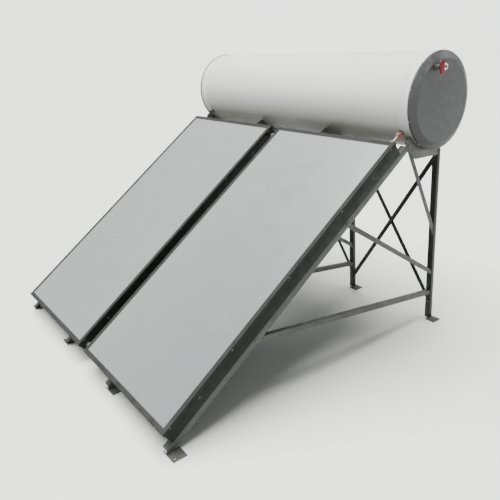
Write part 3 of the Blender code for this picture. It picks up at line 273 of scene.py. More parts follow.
SURFACES = [
    Surface("stand_steel", (0.045, 0.047, 0.043), 0.5, 0.1, specular=0.3)
        .patches((0.068, 0.07, 0.064), 7.0, 0.7).patches((0.033, 0.035, 0.031), 38.0, 0.45)
        .specks((0.14, 0.14, 0.13), 160.0, 0.3, 0.7).worn_edges((0.26, 0.26, 0.245))
        .dust_and_painted_highlight((0.15, 0.15, 0.135), 0.35).uneven_gloss(0.12, 24.0)
        .relief(420.0, 0.00012).relief(45.0, 0.00025),
    Surface("brace_steel", (0.017, 0.019, 0.017), 0.42, 0.1, specular=0.3)
        .patches((0.028, 0.03, 0.027), 9.0, 0.7).specks((0.1, 0.1, 0.095), 170.0, 0.3, 0.72)
        .worn_edges((0.16, 0.16, 0.15), share=0.6).dust_and_painted_highlight((0.12, 0.12, 0.11), 0.25)
        .uneven_gloss(0.1, 26.0).relief(420.0, 0.00012).relief(45.0, 0.0002),
    # the jacket darkens towards its underside: painted shade
    Surface("jacket_paint", (0.72, 0.73, 0.707), 0.5, specular=0.12)
        .patches((0.67, 0.675, 0.65), 2.2, 0.5, (0.3, 1, 1))
        .patches((0.61, 0.61, 0.585), 26.0, 0.2, (0.15, 1, 1))
        .specks((0.5, 0.49, 0.45), 210.0, 0.2, 0.74).painted_underside_shade(*UNDERSIDE_SHADE).painted_underside_shade(*LOWEST_SHADE)
        .uneven_gloss(0.06, 16.0, (0.3, 1, 1)).relief(260.0, 0.00006)
        .relief(6.0, 0.0006, 2.0, (0.12, 1, 1)),
    # the trim darkens towards its underside: painted shade
    Surface("trim_white", (0.8, 0.81, 0.79), 0.5, specular=0.12)
        .patches((0.7, 0.705, 0.68), 30.0, 0.35).painted_underside_shade(*UNDERSIDE_SHADE).painted_underside_shade(*LOWEST_SHADE)
        .uneven_gloss(0.06).relief(260.0, 0.00005),
    # on the cap the strong dust on what faces up is partly a painted highlight on the upper shoulder, and the dark
    # film on what faces down is painted shade
    Surface("cap_plastic", (0.042, 0.042, 0.045), 0.48, specular=0.25)
        .patches((0.05, 0.05, 0.053), 5.0, 0.6).specks((0.2, 0.2, 0.2), 260.0, 0.2, 0.7)
        .dust_and_painted_highlight((0.16, 0.16, 0.162), 0.9, 0.02, 0.5).painted_underside_shade((0.012, 0.012, 0.012), 0.95, -0.02, -0.4)
        .uneven_gloss(0.08, 30.0).relief(900.0, 0.00006),
    Surface("casing_paint", (0.01, 0.011, 0.01), 0.58, specular=0.12)
        .patches((0.018, 0.019, 0.016), 4.0, 0.7).patches((0.007, 0.008, 0.007), 28.0, 0.5)
        .worn_edges((0.1, 0.1, 0.095), share=0.45).specks((0.06, 0.06, 0.056), 190.0, 0.22, 0.72)
        .uneven_gloss(0.1, 20.0).relief(300.0, 0.00008).relief(6.0, 0.0008, 2.0),
    Surface("bezel_aluminium", (0.022, 0.024, 0.022), 0.65, specular=0.06)
        .patches((0.038, 0.04, 0.037), 9.0, 0.6).worn_edges((0.2, 0.2, 0.19), 0.001, 0.6)
        .dust_and_painted_highlight((0.1, 0.1, 0.095), 0.2).uneven_gloss(0.1, 40.0).relief(500.0, 0.00008),
    # the glass darkens towards the front and towards the right: painted shade
    Surface("solar_glass", (0.26, 0.268, 0.27), 0.26, coat=0.1)
        .patches((0.235, 0.242, 0.246), 1.1, 0.6, detail=1.5)
        .patches((0.275, 0.28, 0.277), 2.3, 0.3, detail=1.5)
        .painted_shade_ramp("Y", (0.215, 0.22, 0.222), 0.3, -1.1, 0.6)
        .painted_shade_ramp("X", (0.165, 0.169, 0.172), -0.1, 1.0, 0.55)
        .uneven_gloss(0.05, 9.0).relief(700.0, 0.00006, 1.0),
    Surface("copper", (0.62, 0.27, 0.17), 0.34, 1.0)
        .patches((0.4, 0.17, 0.11), 30.0, 0.6).specks((0.24, 0.2, 0.16), 120.0, 0.5, 0.64)
        .uneven_gloss(0.12, 60.0).relief(300.0, 0.0001),
    Surface("copper_nut", (0.36, 0.13, 0.1), 0.42, 0.6)
        .patches((0.3, 0.09, 0.065), 60.0, 0.6).worn_edges((0.6, 0.3, 0.22), 0.0008, 0.5)
        .uneven_gloss(0.1, 80.0).relief(400.0, 0.00008),
    Surface("brass", (0.26, 0.245, 0.19), 0.42, 0.8)
        .patches((0.18, 0.17, 0.13), 50.0, 0.6).specks((0.25, 0.23, 0.18), 200.0, 0.4, 0.66)
        .worn_edges((0.75, 0.7, 0.58), 0.0008).uneven_gloss(0.12, 70.0).relief(400.0, 0.00008),
    Surface("nickel", (0.5, 0.5, 0.47), 0.34, 0.9)
        .patches((0.38, 0.38, 0.35), 60.0, 0.6).specks((0.2, 0.2, 0.19), 200.0, 0.35, 0.67)
        .worn_edges((0.7, 0.7, 0.67), 0.0008).uneven_gloss(0.1, 70.0).relief(400.0, 0.00008),
    Surface("zinc", (0.36, 0.37, 0.36), 0.4, 0.85)
        .patches((0.5, 0.51, 0.5), 90.0, 0.6).specks((0.16, 0.13, 0.1), 220.0, 0.35, 0.68)
        .uneven_gloss(0.14, 90.0).relief(500.0, 0.00006),
    Surface("dark_screw", (0.075, 0.077, 0.072), 0.42, 0.6)
        .patches((0.12, 0.12, 0.115), 90.0, 0.6).specks((0.05, 0.04, 0.03), 220.0, 0.4, 0.66)
        .uneven_gloss(0.12, 90.0).relief(500.0, 0.00006),
    Surface("dark_fitting", (0.035, 0.035, 0.034), 0.5, 0.2, specular=0.25)
        .patches((0.055, 0.053, 0.048), 60.0, 0.6).worn_edges((0.22, 0.21, 0.18), 0.0008, 0.5)
        .uneven_gloss(0.1, 60.0).relief(400.0, 0.0001),
    Surface("rubber", (0.014, 0.014, 0.014), 0.62)
        .patches((0.03, 0.03, 0.029), 30.0, 0.6).uneven_gloss(0.1, 60.0).relief(700.0, 0.00008),
    Surface("red_plastic", (0.13, 0.002, 0.007), 0.42, specular=0.2)
        .patches((0.1, 0.002, 0.006), 60.0, 0.6).worn_edges((0.26, 0.03, 0.04), 0.001, 0.3)
        .uneven_gloss(0.08, 90.0).relief(800.0, 0.00005),
    Surface("white_plastic", (0.78, 0.77, 0.76), 0.34)
        .patches((0.68, 0.66, 0.64), 70.0, 0.5).uneven_gloss(0.08, 90.0).relief(800.0, 0.00005),
    Surface("vessel_steel", (0.26, 0.26, 0.27), 0.5, 0.8)
        .patches((0.18, 0.17, 0.16), 12.0, 0.6).uneven_gloss(0.12, 30.0).relief(200.0, 0.0002),
    Surface("foam", (0.72, 0.62, 0.34), 0.9)
        .patches((0.6, 0.5, 0.26), 20.0, 0.6).relief(500.0, 0.0008),
    Surface("mineral_wool", (0.58, 0.49, 0.26), 0.95)
        .patches((0.45, 0.37, 0.18), 30.0, 0.6, (1, 6, 6)).relief(300.0, 0.0015, 6.0, (1, 5, 5)),
    Surface("magnesium", (0.46, 0.46, 0.46), 0.6, 0.9)
        .patches((0.34, 0.34, 0.33), 40.0, 0.6).relief(250.0, 0.0002),
]
LOOKS = {surface.name: surface.done() for surface in SURFACES}


# ---- mesh building ----
def merge(target, part, place=None):
    """Adds a bmesh to another one, moved by a matrix, and frees it."""
    if place is not None:
        part.transform(place)
    mesh = bpy.data.meshes.new("part")
    part.to_mesh(mesh)
    part.free()
    target.from_mesh(mesh)
    bpy.data.meshes.remove(mesh)


SHARP = math.radians(30)


def round_edges(bm, edges, width):
    bmesh.ops.bevel(bm, geom=edges, offset=width, segments=2, profile=0.5, affect="EDGES",
                    clamp_overlap=True)


def bevel_sharp(bm, width):
    """Rounds every sharp edge."""
    sharp = [edge for edge in bm.edges if edge.is_manifold and edge.calc_face_angle() > SHARP]
    round_edges(bm, sharp, width)


def turned(profile, steps=32):
    """A shape turned about local Z; a (z, radius) profile that does not start on the axis is closed."""
    if profile[0][1] > 0:
        profile = [*profile, profile[0]]
    bm = bmesh.new()
    points = [bm.verts.new((radius, 0, z)) for z, radius in profile]
    edges = [bm.edges.new(pair) for pair in zip(points, points[1:])]
    bmesh.ops.spin(bm, geom=points + edges, axis=Z_AXIS, cent=(0, 0, 0), angle=math.tau, steps=steps,
                   use_merge=True)
    bmesh.ops.remove_doubles(bm, verts=bm.verts, dist=1e-6)
    bmesh.ops.recalc_face_normals(bm, faces=bm.faces)
    return bm


def ring_profile(inner, outer, low, high, round_off=0.0):
    """Closed (z, radius) section of a ring, its outer corners chamfered."""
    return [(high, inner), (high, outer - round_off), (high - round_off, outer), (low + round_off, outer),
            (low, outer - round_off), (low, inner)]


def add_ring(bm, place, inner, outer, low, high, round_off, steps=36):
    """A plain ring about local Z of the place, from one height to the other."""
    merge(bm, turned(ring_profile(inner, outer, low, high, round_off), steps), place)


def prism(outline, low, high, bevel=0.0):
    """A straight prism of an XY outline between two heights."""
    bm = bmesh.new()
    face = bm.faces.new([bm.verts.new((x, y, low)) for x, y in outline])
    grown = bmesh.ops.extrude_face_region(bm, geom=[face])
    moved = [item for item in grown["geom"] if isinstance(item, bmesh.types.BMVert)]
    bmesh.ops.translate(bm, vec=(0, 0, high - low), verts=moved)
    bmesh.ops.recalc_face_normals(bm, faces=bm.faces)
    if bevel:
        bevel_sharp(bm, bevel)
    return bm


def evenly(first, last, count):
    return [first + (last - first) * step / (count - 1) for step in range(count)]


def arc(radius, first, last, steps):
    """Points of a circle about the origin, from one angle to the other."""
    return [(radius * math.cos(angle), radius * math.sin(angle)) for angle in evenly(first, last, steps + 1)]


def polygon(radius, sides, turn=0.0):
    return arc(radius, turn, turn + math.tau, sides)[:-1]


def skin(bm, rows):
    """Faces from row to row of vertices, each row closed on itself, and a face on either end."""
    for near, far in zip(rows, rows[1:]):
        for i in range(len(near)):
            j = (i + 1) % len(near)
            bm.faces.new((near[i], near[j], far[j], far[i]))
    bm.faces.new(rows[0][::-1])
    bm.faces.new(rows[-1])
    bmesh.ops.recalc_face_normals(bm, faces=bm.faces)


def swept(points, radii, sides=16):
    """A closed round rod through the points, with its own radius at each of them."""
    bm = bmesh.new()
    points = [Vector(point) for point in points]
    tangents = [(after - before).normalized()
                for before, after in zip([points[0]] + points[:-1], points[1:] + [points[-1]])]
    side = tangents[0].orthogonal().normalized()
    rings = []
    for point, tangent, radius in zip(points, tangents, radii):
        side = (side - tangent * side.dot(tangent)).normalized()
        other = tangent.cross(side)
        rings.append([bm.verts.new(point + side * x + other * y) for x, y in polygon(radius, sides)])
    skin(bm, rings)
    return bm


def rounded_route(corners, bend, steps=8):
    """The corner points joined by straight runs, with each inner corner rounded to the bend radius."""
    corners = [Vector(corner) for corner in corners]
    route = [corners[0]]
    for before, corner, after in zip(corners, corners[1:], corners[2:]):
        to_before = (before - corner).normalized()
        to_after = (after - corner).normalized()
        half = to_before.angle(to_after) / 2
        middle = corner + (to_before + to_after).normalized() * bend / math.sin(half)
        reach = bend / math.tan(half)
        first = corner + to_before * reach - middle
        last = corner + to_after * reach - middle
        for step in range(steps + 1):
            route.append(middle + first.slerp(last, step / steps) * bend)
    route.append(corners[-1])
    return route


def add_piece(name, bm, look, body=BODY, nodes=(), smooth_angle=38.0):
    """Turns a bmesh into a piece that rides on a body and may stand for CAD nodes."""
    mesh = bpy.data.meshes.new(name)
    bm.to_mesh(mesh)
    bm.free()
    mesh.materials.append(LOOKS[look])
    mesh.shade_smooth()
    mesh.set_sharp_from_angle(angle=math.radians(smooth_angle))
    piece = bpy.data.objects.new(name, mesh)
    bpy.context.scene.collection.objects.link(piece)
    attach(piece, body)
    if nodes:
        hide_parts(*nodes)
    return piece


def crisp(node, name, look, width=0.0008, body=BODY):
    """The CAD node's own shape with flat faces joined up and its edges rounded."""
    bm = bmesh.new()
    bm.from_mesh(frame["nodes"][node].data)
    bmesh.ops.remove_doubles(bm, verts=bm.verts, dist=1e-5)
    bmesh.ops.dissolve_limit(bm, angle_limit=math.radians(1), verts=bm.verts, edges=bm.edges)
    bevel_sharp(bm, width)
    return add_piece(name, bm, look, body, [node])


# ---- fasteners and welds ----
BOLT = 0.008
BOLT_PITCH = 0.00125


def threaded_profile(radius, low, high):
    """(z, radius) zigzag of a bolt's thread from high down to low, closed at both ends."""
    count = max(2, int((high - low) / BOLT_PITCH))
    step = (high - low) / count
    profile = [(high, 0), (high, radius - BOLT_PITCH * 0.6)]
    for turn in range(count):
        top = high - turn * step
        profile += [(top - step * 0.5, radius), (top - step, radius - BOLT_PITCH * 0.5)]
    return profile + [(low, 0)]


def hex_head(across, low, high):
    """Hexagon with its outer corners turned down, as on a forged head or a nut."""
    bm = prism(polygon(across / math.sqrt(3), 6), low, high)
    top = [edge for edge in bm.edges if all(abs(v.co.z - high) < 1e-7 for v in edge.verts)]
    round_edges(bm, top, across * 0.06)
    return bm


def add_bolt(bm, point, axis, grip, turn):
    """Hex bolt with washers: the head stands at point on the axis side, the nut `grip` further in."""
    place = placed(point, axis, turn=turn)
    washer = BOLT * 0.2
    across = BOLT * 1.6
    merge(bm, hex_head(across, washer, washer + BOLT * 0.62), place)
    for low in (0, -grip - washer):
        add_ring(bm, place, BOLT * 0.4, BOLT * 1.05, low, low + washer, BOLT * 0.05, 24)
    flipped = place @ Matrix.Translation((0, 0, -grip - washer)) @ FLIP
    merge(bm, hex_head(across, 0, BOLT * 0.8), flipped)
    merge(bm, turned(threaded_profile(BOLT / 2, BOLT * 0.7, BOLT * 1.15), 20), flipped)


def add_rivet(bm, point, axis, radius=0.0032):
    """Domed blind rivet with the small hollow left by its stem."""
    dome = [(radius * 0.25, 0), (radius * 0.25, radius * 0.3), (radius * 0.48, radius * 0.36)]
    for step in range(5):
        angle = math.pi / 2 * (step + 1) / 5
        dome.append((radius * 0.48 * math.cos(angle), radius * (0.36 + 0.64 * math.sin(angle))))
    merge(bm, turned(dome + [(-radius * 0.2, radius), (-radius * 0.2, 0)], 18), placed(point, axis))


def add_screw(bm, point, axis, radius=0.0045, turn=0.0):
    """Pan-head screw with a cross recess, on a small flange."""
    place = placed(point, axis, turn=turn)
    head = [(radius * 0.62, 0), (radius * 0.62, radius * 0.35), (radius * 0.5, radius * 0.7),
            (radius * 0.25, radius * 0.86), (0.0004, radius * 0.9), (0.0004, radius * 1.25),
            (-0.0004, radius * 1.25), (-0.0004, 0)]
    merge(bm, turned(head, 20), place)
    arm, half = radius * 0.5, radius * 0.1
    cross = [(-arm, -half), (-half, -half), (-half, -arm), (half, -arm), (half, -half), (arm, -half),
             (arm, half), (half, half), (half, arm), (-half, arm), (-half, half), (-arm, half)]
    merge(bm, prism(cross, radius * 0.6, radius * 0.66), place)


def add_weld(bm, start, end, radius=0.0032):
    """A rippled fillet weld along a line."""
    start, end = Vector(start), Vector(end)
    length = (end - start).length
    count = max(6, int(length / 0.0016))
    points, radii = [], []
    for step in range(count + 1):
        share = step / count
        ripple = 0.86 + 0.14 * math.cos(share * length / 0.0042 * math.tau)
        taper = min(1.0, 4 * min(share, 1 - share) + 0.35)
        points.append(start.lerp(end, share))
        radii.append(radius * ripple * taper)
    merge(bm, swept(points, radii, 10))


# ---- stand ----
def dress_stand():
    looks = {}
    for number in range(1, FRAME_COUNT + 1):
        for part in ("sloping_rail", "base_brace", "diagonal_strut", "tank_cradle", "front_foot",
                     "rear_foot"):
            looks[f"{part}_{number}"] = "stand_steel"
        looks[f"rear_leg_{number}"] = "brace_steel"
        if number in (1, FRAME_COUNT):
            looks[f"upper_strut_{number}"] = "stand_steel"
    for panel in range(1, FRAME_COUNT):
        for letter in "ab":
            looks[f"cross_brace_{panel}_{letter}"] = "brace_steel"
    for node, look in looks.items():
        crisp(node, f"{node}_steel", look)


STRUT_ENDS = [(0.645, 0.2), (1.464, 0.35), (2.08, 0.639)]  # along the rail, height on the leg
BEAD = 0.0022  # radius of the weld beads on thin bars
STRUT_BEAD = 0.014  # half the length of a bead at a strut's lower end
PLAY = 0.0005  # what a bolt's grip has over the steel


def add_frame_bolts():
    """Bolts through the struts' upper ends, and weld beads where their lower ends meet the legs."""
    for index in range(FRAME_COUNT):
        x, outward = frame_outer_x(index)
        bolts = bmesh.new()
        beads = bmesh.new()
        struts = STRUT_ENDS if index in (0, FRAME_COUNT - 1) else STRUT_ENDS[:-1]
        for along, height in struts:
            head = on_slope(x, along, RAIL_DEPTH + ANGLE / 2)
            add_bolt(bolts, head, X_AXIS * outward, STEEL + STRUT_STEEL + PLAY, along)
            inner = x - outward * (STEEL + GAP)
            for face in (inner, inner - outward * STRUT_STEEL):
                ends = [on_leg(face, height + rise, LEG_FRONT - PLAY) for rise in (-STRUT_BEAD, STRUT_BEAD)]
                add_weld(beads, *ends, BEAD)
        add_piece(f"frame_bolts_{index + 1}", bolts, "dark_screw")
        add_piece(f"strut_welds_{index + 1}", beads, "stand_steel")


BRACE_LOW, BRACE_HIGH = 0.11, 1.165
BOLT_INSET = 0.014  # from a brace's end to its bolt
END_BEAD = (-0.024, 0.012)  # ends of the bead on a brace's cut end, from its centre line


def add_brace_bolts():
    """Bolts through the cross braces' ends on the leg flanges, through their crossings, and end welds."""
    bolts = bmesh.new()
    beads = bmesh.new()
    for panel in range(FRAME_COUNT - 1):
        low_a, high_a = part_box(f"cross_brace_{panel + 1}_a")
        steepness = (BRACE_HIGH - BRACE_LOW) / (high_a.x - low_a.x)
        for end_x, into, index in ((low_a.x, 1, panel), (high_a.x, -1, panel + 1)):
            _, outward = frame_outer_x(index)
            for layer in (1, 2):
                goes_up = (layer == 1) == (into > 0)
                height = BRACE_LOW if goes_up else BRACE_HIGH
                back = LEG_FRONT + layer * (STEEL + GAP) + STEEL
                if outward == into:
                    ends = [on_leg(end_x, height + rise, back) for rise in END_BEAD]
                    add_weld(beads, *ends, BEAD)
                    continue
                rise = steepness * BOLT_INSET * (1 if goes_up else -1)
                spot = on_leg(end_x + into * BOLT_INSET, height + rise, back)
                add_bolt(bolts, spot, BEHIND_LEG, STEEL * (layer + 1) + 2 * PLAY, height * 9 + layer)
                if layer == 2:
                    spacer = placed(spot - BEHIND_LEG * STEEL, BEHIND_LEG)
                    add_ring(bolts, spacer, 0.004, 0.0085, -STEEL - 0.0004, -0.0001, 0.0004, 20)
        middle = on_leg((low_a.x + high_a.x) / 2, (BRACE_LOW + BRACE_HIGH) / 2,
                        LEG_FRONT + 3 * STEEL + 2 * GAP)
        add_bolt(bolts, middle, BEHIND_LEG, 2 * STEEL + PLAY, 0.3)
    add_piece("brace_bolts", bolts, "dark_screw")
    add_piece("brace_welds", beads, "brace_steel")


RAIL_TOP = 2.06
CRADLE_FOOT = 1.156  # heights on a leg between which the cradle plate meets it
LEG_TOP = 1.185
RAIL_FOOT = 0.056  # length of a rail's web where it stands on its foot plate
FLANGE_BEAD = 0.95 * ANGLE


def add_welds():
    """Weld beads where rails and legs stand on their foot plates and carry the cradle plates."""
    bm = bmesh.new()
    for index in range(FRAME_COUNT):
        x, outward = frame_outer_x(index)
        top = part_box(f"front_foot_{index + 1}")[1].z
        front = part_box(f"sloping_rail_{index + 1}")[0].y
        side = X_AXIS * outward
        beside = Vector((x, front, top)) + side * 0.001
        add_weld(bm, beside + Y_AXIS * 0.002, beside + Y_AXIS * RAIL_FOOT)
        before = Vector((x, front - 0.0006, top))
        add_weld(bm, before - side * FLANGE_BEAD, before - side * 0.001)
        leg = on_leg(x, top)
        beside = leg + side * 0.001
        add_weld(bm, beside + Y_AXIS * LEG_FRONT, beside + Y_AXIS * LEG_BACK)
        before = leg + Y_AXIS * (LEG_FRONT - 0.001)
        add_weld(bm, before, before - side * FLANGE_BEAD)
        for face in (x, x - outward * STEEL):
            rail_end = [on_slope(face, RAIL_TOP, RAIL_DEPTH + depth) for depth in (0.003, ANGLE)]
            add_weld(bm, *rail_end)
            corner = on_leg(face, LEG_TOP, LEG_FRONT)
            add_weld(bm, corner, on_leg(face, LEG_TOP, LEG_BACK - 0.003))
            add_weld(bm, on_leg(face, CRADLE_FOOT, LEG_FRONT), corner)
    add_piece("stand_welds", bm, "stand_steel")


# ---- collectors ----
LIP = 0.026
SKIRT = 0.02
SHEET = 0.002
LIP_SECTION = [  # inward from the outer face, height above the glazing plane
    (0, -0.0038), (0, -0.0012), (0.0004, -0.0004), (0.0012, 0), (0.0095, 0), (0.0103, -0.0011),
    (0.0137, -0.0011), (0.0145, 0), (0.0242, 0), (0.0254, -0.0004), (LIP, -0.0014), (LIP, -SHEET),
    (SHEET, -SHEET), (SHEET, -0.0038),
]
SKIRT_SECTION = [
    (0.0003, -SKIRT), (0, -SKIRT + 0.0006), (0, -0.0048), (0.0004, -0.0042), (SHEET, -0.0042),
    (SHEET, -SKIRT),
]
GASKET_SECTION = [
    (LIP - 0.001, -0.00225), (LIP + 0.0034, -0.00225), (LIP + 0.003, -0.0013), (LIP + 0.0016, -0.0007),
    (LIP - 0.0002, -0.0007),
]
MITRE_GAP = 0.0003


def collector_place(centre_x):
    """Local X across, Y up the slope and Z out of the glazing, from the middle of the lower edge."""
    origin = on_slope(centre_x, 0, 0)
    return placed(origin, OUT_OF_GLAZING, X_AXIS)


def mitred_bar(section, length):
    """A bar along local X from corner to corner, its ends cut at 45 degrees; local Y points inward."""
    bm = bmesh.new()
    ends = []
    for end in (MITRE_GAP - length / 2, length / 2 - MITRE_GAP):
        towards_middle = -1 if end > 0 else 1
        ends.append([bm.verts.new((end + towards_middle * inward, inward, height))
                     for inward, height in section])
    skin(bm, ends)
    return bm


def around_frame(section):
    """Four mitred bars round a collector in its local frame."""
    bm = bmesh.new()
    width, length = COLLECTOR_WIDTH, COLLECTOR_LENGTH
    sides = (
        (width, (0, 0), 0), (length, (width / 2, length / 2), 90),
        (width, (0, length), 180), (length, (-width / 2, length / 2), 270),
    )
    for size, (x, y), turn in sides:
        merge(bm, mitred_bar(section, size), placed((x, y, 0), Z_AXIS, X_AXIS, math.radians(turn)))
    return bm


WALL_INSET = 0.0023  # from the glazing frame's outer face in to the casing's walls
SCREW_MARGIN, SCREW_RADIUS = 0.05, 0.0036
RIVET_MARGIN = 0.04
RIVET_ROW = 0.012  # above the back sheet
VENT_DEPTH = 0.039
RIB_PLACES = (-0.3, -0.1, 0.1, 0.3)


def dress_collector(word, centre_x):
    place = collector_place(centre_x)
    bars = (
        ("glazing_frame_{}_bars", LIP_SECTION, "bezel_aluminium", [f"glazing_frame_{word}"]),
        ("glazing_frame_{}_skirt", SKIRT_SECTION, "casing_paint", []),
        ("glazing_gasket_{}", GASKET_SECTION, "rubber", []),
    )
    for name, section, look, nodes in bars:
        bm = around_frame(section)
        bm.transform(place)
        add_piece(name.format(word), bm, look, nodes=nodes)
    crisp(f"collector_casing_{word}", f"collector_casing_{word}_sheet", "casing_paint", 0.0009)
    add_collector_fasteners(word, place)
    half = COLLECTOR_WIDTH / 2 - WALL_INSET
    for wall, side in (("left", -1), ("right", 1)):
        for level, y in (("low", 0.248), ("high", 1.752)):
            vent = bmesh.new()
            add_vent(vent, place @ Vector((side * half, y, -VENT_DEPTH)), X_AXIS * side)
            add_piece(f"casing_vent_{word}_{wall}_{level}", vent, "dark_fitting")
    ribs = bmesh.new()
    for x in RIB_PLACES:
        add_pressed_rib(ribs, place, x)
    add_piece(f"back_sheet_ribs_{word}", ribs, "casing_paint")


def add_collector_fasteners(word, place):
    """Screws round the glazing frame's skirt and rivets along the casing's lower edges."""
    half, length = COLLECTOR_WIDTH / 2, COLLECTOR_LENGTH
    end_reach = half - SCREW_MARGIN
    row = RIVET_ROW - COLLECTOR_DEPTH
    screws = bmesh.new()
    rivets = bmesh.new()
    for side in (-1, 1):
        for step, y in enumerate(evenly(SCREW_MARGIN, length - SCREW_MARGIN, 5)):
            point = place @ Vector((side * half, y, -SKIRT / 2))
            add_screw(screws, point, X_AXIS * side, SCREW_RADIUS, step * 0.7)
        for y in evenly(RIVET_MARGIN, length - RIVET_MARGIN, 9):
            add_rivet(rivets, place @ Vector((side * (half - WALL_INSET), y, row)), X_AXIS * side)
        end = length if side > 0 else 0
        for step, x in enumerate(evenly(-end_reach, end_reach, 3)):
            point = place @ Vector((x, end, -SKIRT / 2))
            add_screw(screws, point, UP_SLOPE * side, SCREW_RADIUS, step * 0.9)
        for x in evenly(-end_reach, end_reach, 5):
            add_rivet(rivets, place @ Vector((x, end - side * WALL_INSET, row)), UP_SLOPE * side)
    add_piece(f"glazing_screws_{word}", screws, "dark_screw")
    add_piece(f"casing_rivets_{word}", rivets, "casing_paint")


def add_vent(bm, point, axis):
    """Small round vent plug: a flange, a raised ring and a sunk centre."""
    profile = [(0.0012, 0), (0.0012, 0.0035), (0.0028, 0.0045), (0.0032, 0.006), (0.0026, 0.0072),
               (0.0012, 0.0085), (0.0006, 0.0092), (-0.0004, 0.0094), (-0.0004, 0)]
    merge(bm, turned(profile, 28), placed(point, axis))


def add_pressed_rib(bm, place, x):
    """Long shallow bead pressed outwards in the back sheet, with rounded ends."""
    width, height = 0.011, 0.0028
    start, end = 0.16, COLLECTOR_LENGTH - 0.16
    count, sides = 40, 8
    rows = []
    for step, y in enumerate(evenly(start, end, count + 1)):
        ease = math.sin(min(1.0, 8 * min(step, count - step) / count) * math.pi / 2)
        row = []
        for across, out in arc(1, 0, math.pi, sides):
            offset = width * across * (0.3 + 0.7 * ease)
            drop = height * out * ease
            row.append(bm.verts.new(place @ Vector((x + offset, y, -COLLECTOR_DEPTH + 0.0004 - drop))))
        rows.append(row)
    skin(bm, rows)


HEADER_DEPTH = 0.05
HEADER_INSET = 0.045
HEADER_RADIUS = 0.011
PORT = middle_of("riser_pipe").x - EDGE.x  # from the middle between the collectors to the riser's axis


def add_unions():
    """Compression unions over the header stubs: ribbed body, two hexagon nuts and their sealing rings."""
    bore = HEADER_RADIUS + 0.0003
    for word, along in (("lower", HEADER_INSET), ("upper", COLLECTOR_LENGTH - HEADER_INSET)):
        bm = bmesh.new()
        place = placed(on_slope(EDGE.x, along, HEADER_DEPTH), X_AXIS, OUT_OF_GLAZING)
        add_ring(bm, place, bore, 0.0148, -0.018, 0.018, 0.001)
        add_ring(bm, place, bore, 0.0162, -0.004, 0.004, 0.0008)
        for turned_place in (place, place @ FLIP):
            merge(bm, hex_head(0.031, 0.0165, 0.0325), turned_place)
            add_ring(bm, turned_place, bore, 0.0136, 0.0325, 0.0362, 0.0012, 32)
        add_piece(f"header_union_{word}_fitting", bm, "nickel", nodes=[f"header_union_{word}"])


def add_pipe_grommets():
    """Rubber grommets where headers and branches leave the casings."""
    bm = bmesh.new()
    ring = [(0.0016, 0.0112), (0.0026, 0.0122), (0.0026, 0.0152), (0.0014, 0.0172), (-0.0002, 0.0176),
            (-0.0002, 0.0112)]
    for centre_x, side in COLLECTORS.values():
        wall = centre_x - side * (COLLECTOR_WIDTH / 2 - WALL_INSET)
        for along in (HEADER_INSET, COLLECTOR_LENGTH - HEADER_INSET):
            merge(bm, turned(ring, 32), placed(on_slope(wall, along, HEADER_DEPTH), -X_AXIS * side))
    top = on_slope(EDGE.x + PORT, COLLECTOR_LENGTH - WALL_INSET, HEADER_DEPTH)
    merge(bm, turned(ring, 32), placed(top, UP_SLOPE))
    under = on_slope(EDGE.x - PORT, HEADER_INSET, COLLECTOR_DEPTH)
    merge(bm, turned(ring, 32), placed(under, -OUT_OF_GLAZING))
    add_piece("pipe_grommets", bm, "rubber")


# ---- tank ----
TANK_SIDES = 128
SEAM_ANGLE = math.radians(-52)
CAP_PLACE = {"right": placed(TANK, X_AXIS, Y_AXIS), "left": placed(TANK, -X_AXIS, Y_AXIS)}
TRIM_WIDTH = 0.024
CAP_FACE_RADIUS = 0.238
CAP_WALL = 0.0025
SKIRT_LENGTH = 0.010
CAP_SCREWS = 10


def radial(angle):
    """Direction away from the tank's axis, from +Y round towards +Z."""
    return Vector((0, math.cos(angle), math.sin(angle)))


def add_jacket():
    """Painted sheet rolled to a barrel: swage lines near the ends and a folded seam at the lower back."""
    half, radius = JACKET_HALF, JACKET_RADIUS
    profile = [(half, radius - 0.0012), (half, radius - 0.0003), (half - 0.0006, radius)]
    for centre in (half - 0.07, -(half - 0.07)):
        for step in range(9):
            angle = math.pi * step / 8
            z = centre + 0.006 * math.cos(angle)
            profile.append((z, radius + 0.0016 * math.sin(angle) ** 2))
    profile += [(-half + 0.0006, radius), (-half, radius - 0.0003), (-half, radius - 0.0012)]
    bm = turned(profile, TANK_SIDES)
    bm.transform(CAP_PLACE["right"])
    add_piece("tank_jacket_sheet", bm, "jacket_paint", nodes=["tank_jacket"], smooth_angle=60)

    seam = bmesh.new()
    out = radial(SEAM_ANGLE)
    around = radial(SEAM_ANGLE + math.pi / 2)
    width = 0.011
    section = [(-width, -0.0004), (-width, 0.0006), (-width + 0.0012, 0.0015), (-0.001, 0.0017),
               (0, 0.0009), (0.0012, 0.0021), (width - 0.001, 0.0022), (width, 0.0012), (width, -0.0004)]
    length = 2 * (half - 0.03)
    merge(seam, prism(section, -length / 2, length / 2), placed(TANK + out * radius, X_AXIS, around))
    add_piece("jacket_seam", seam, "jacket_paint", smooth_angle=50)
    rivets = bmesh.new()
    row = TANK + out * (radius + 0.0019) + around * 0.0056
    for x in evenly(0.05 - half, half - 0.05, 15):
        add_rivet(rivets, row + X_AXIS * x, out, 0.0026)
    add_piece("jacket_seam_rivets", rivets, "zinc")


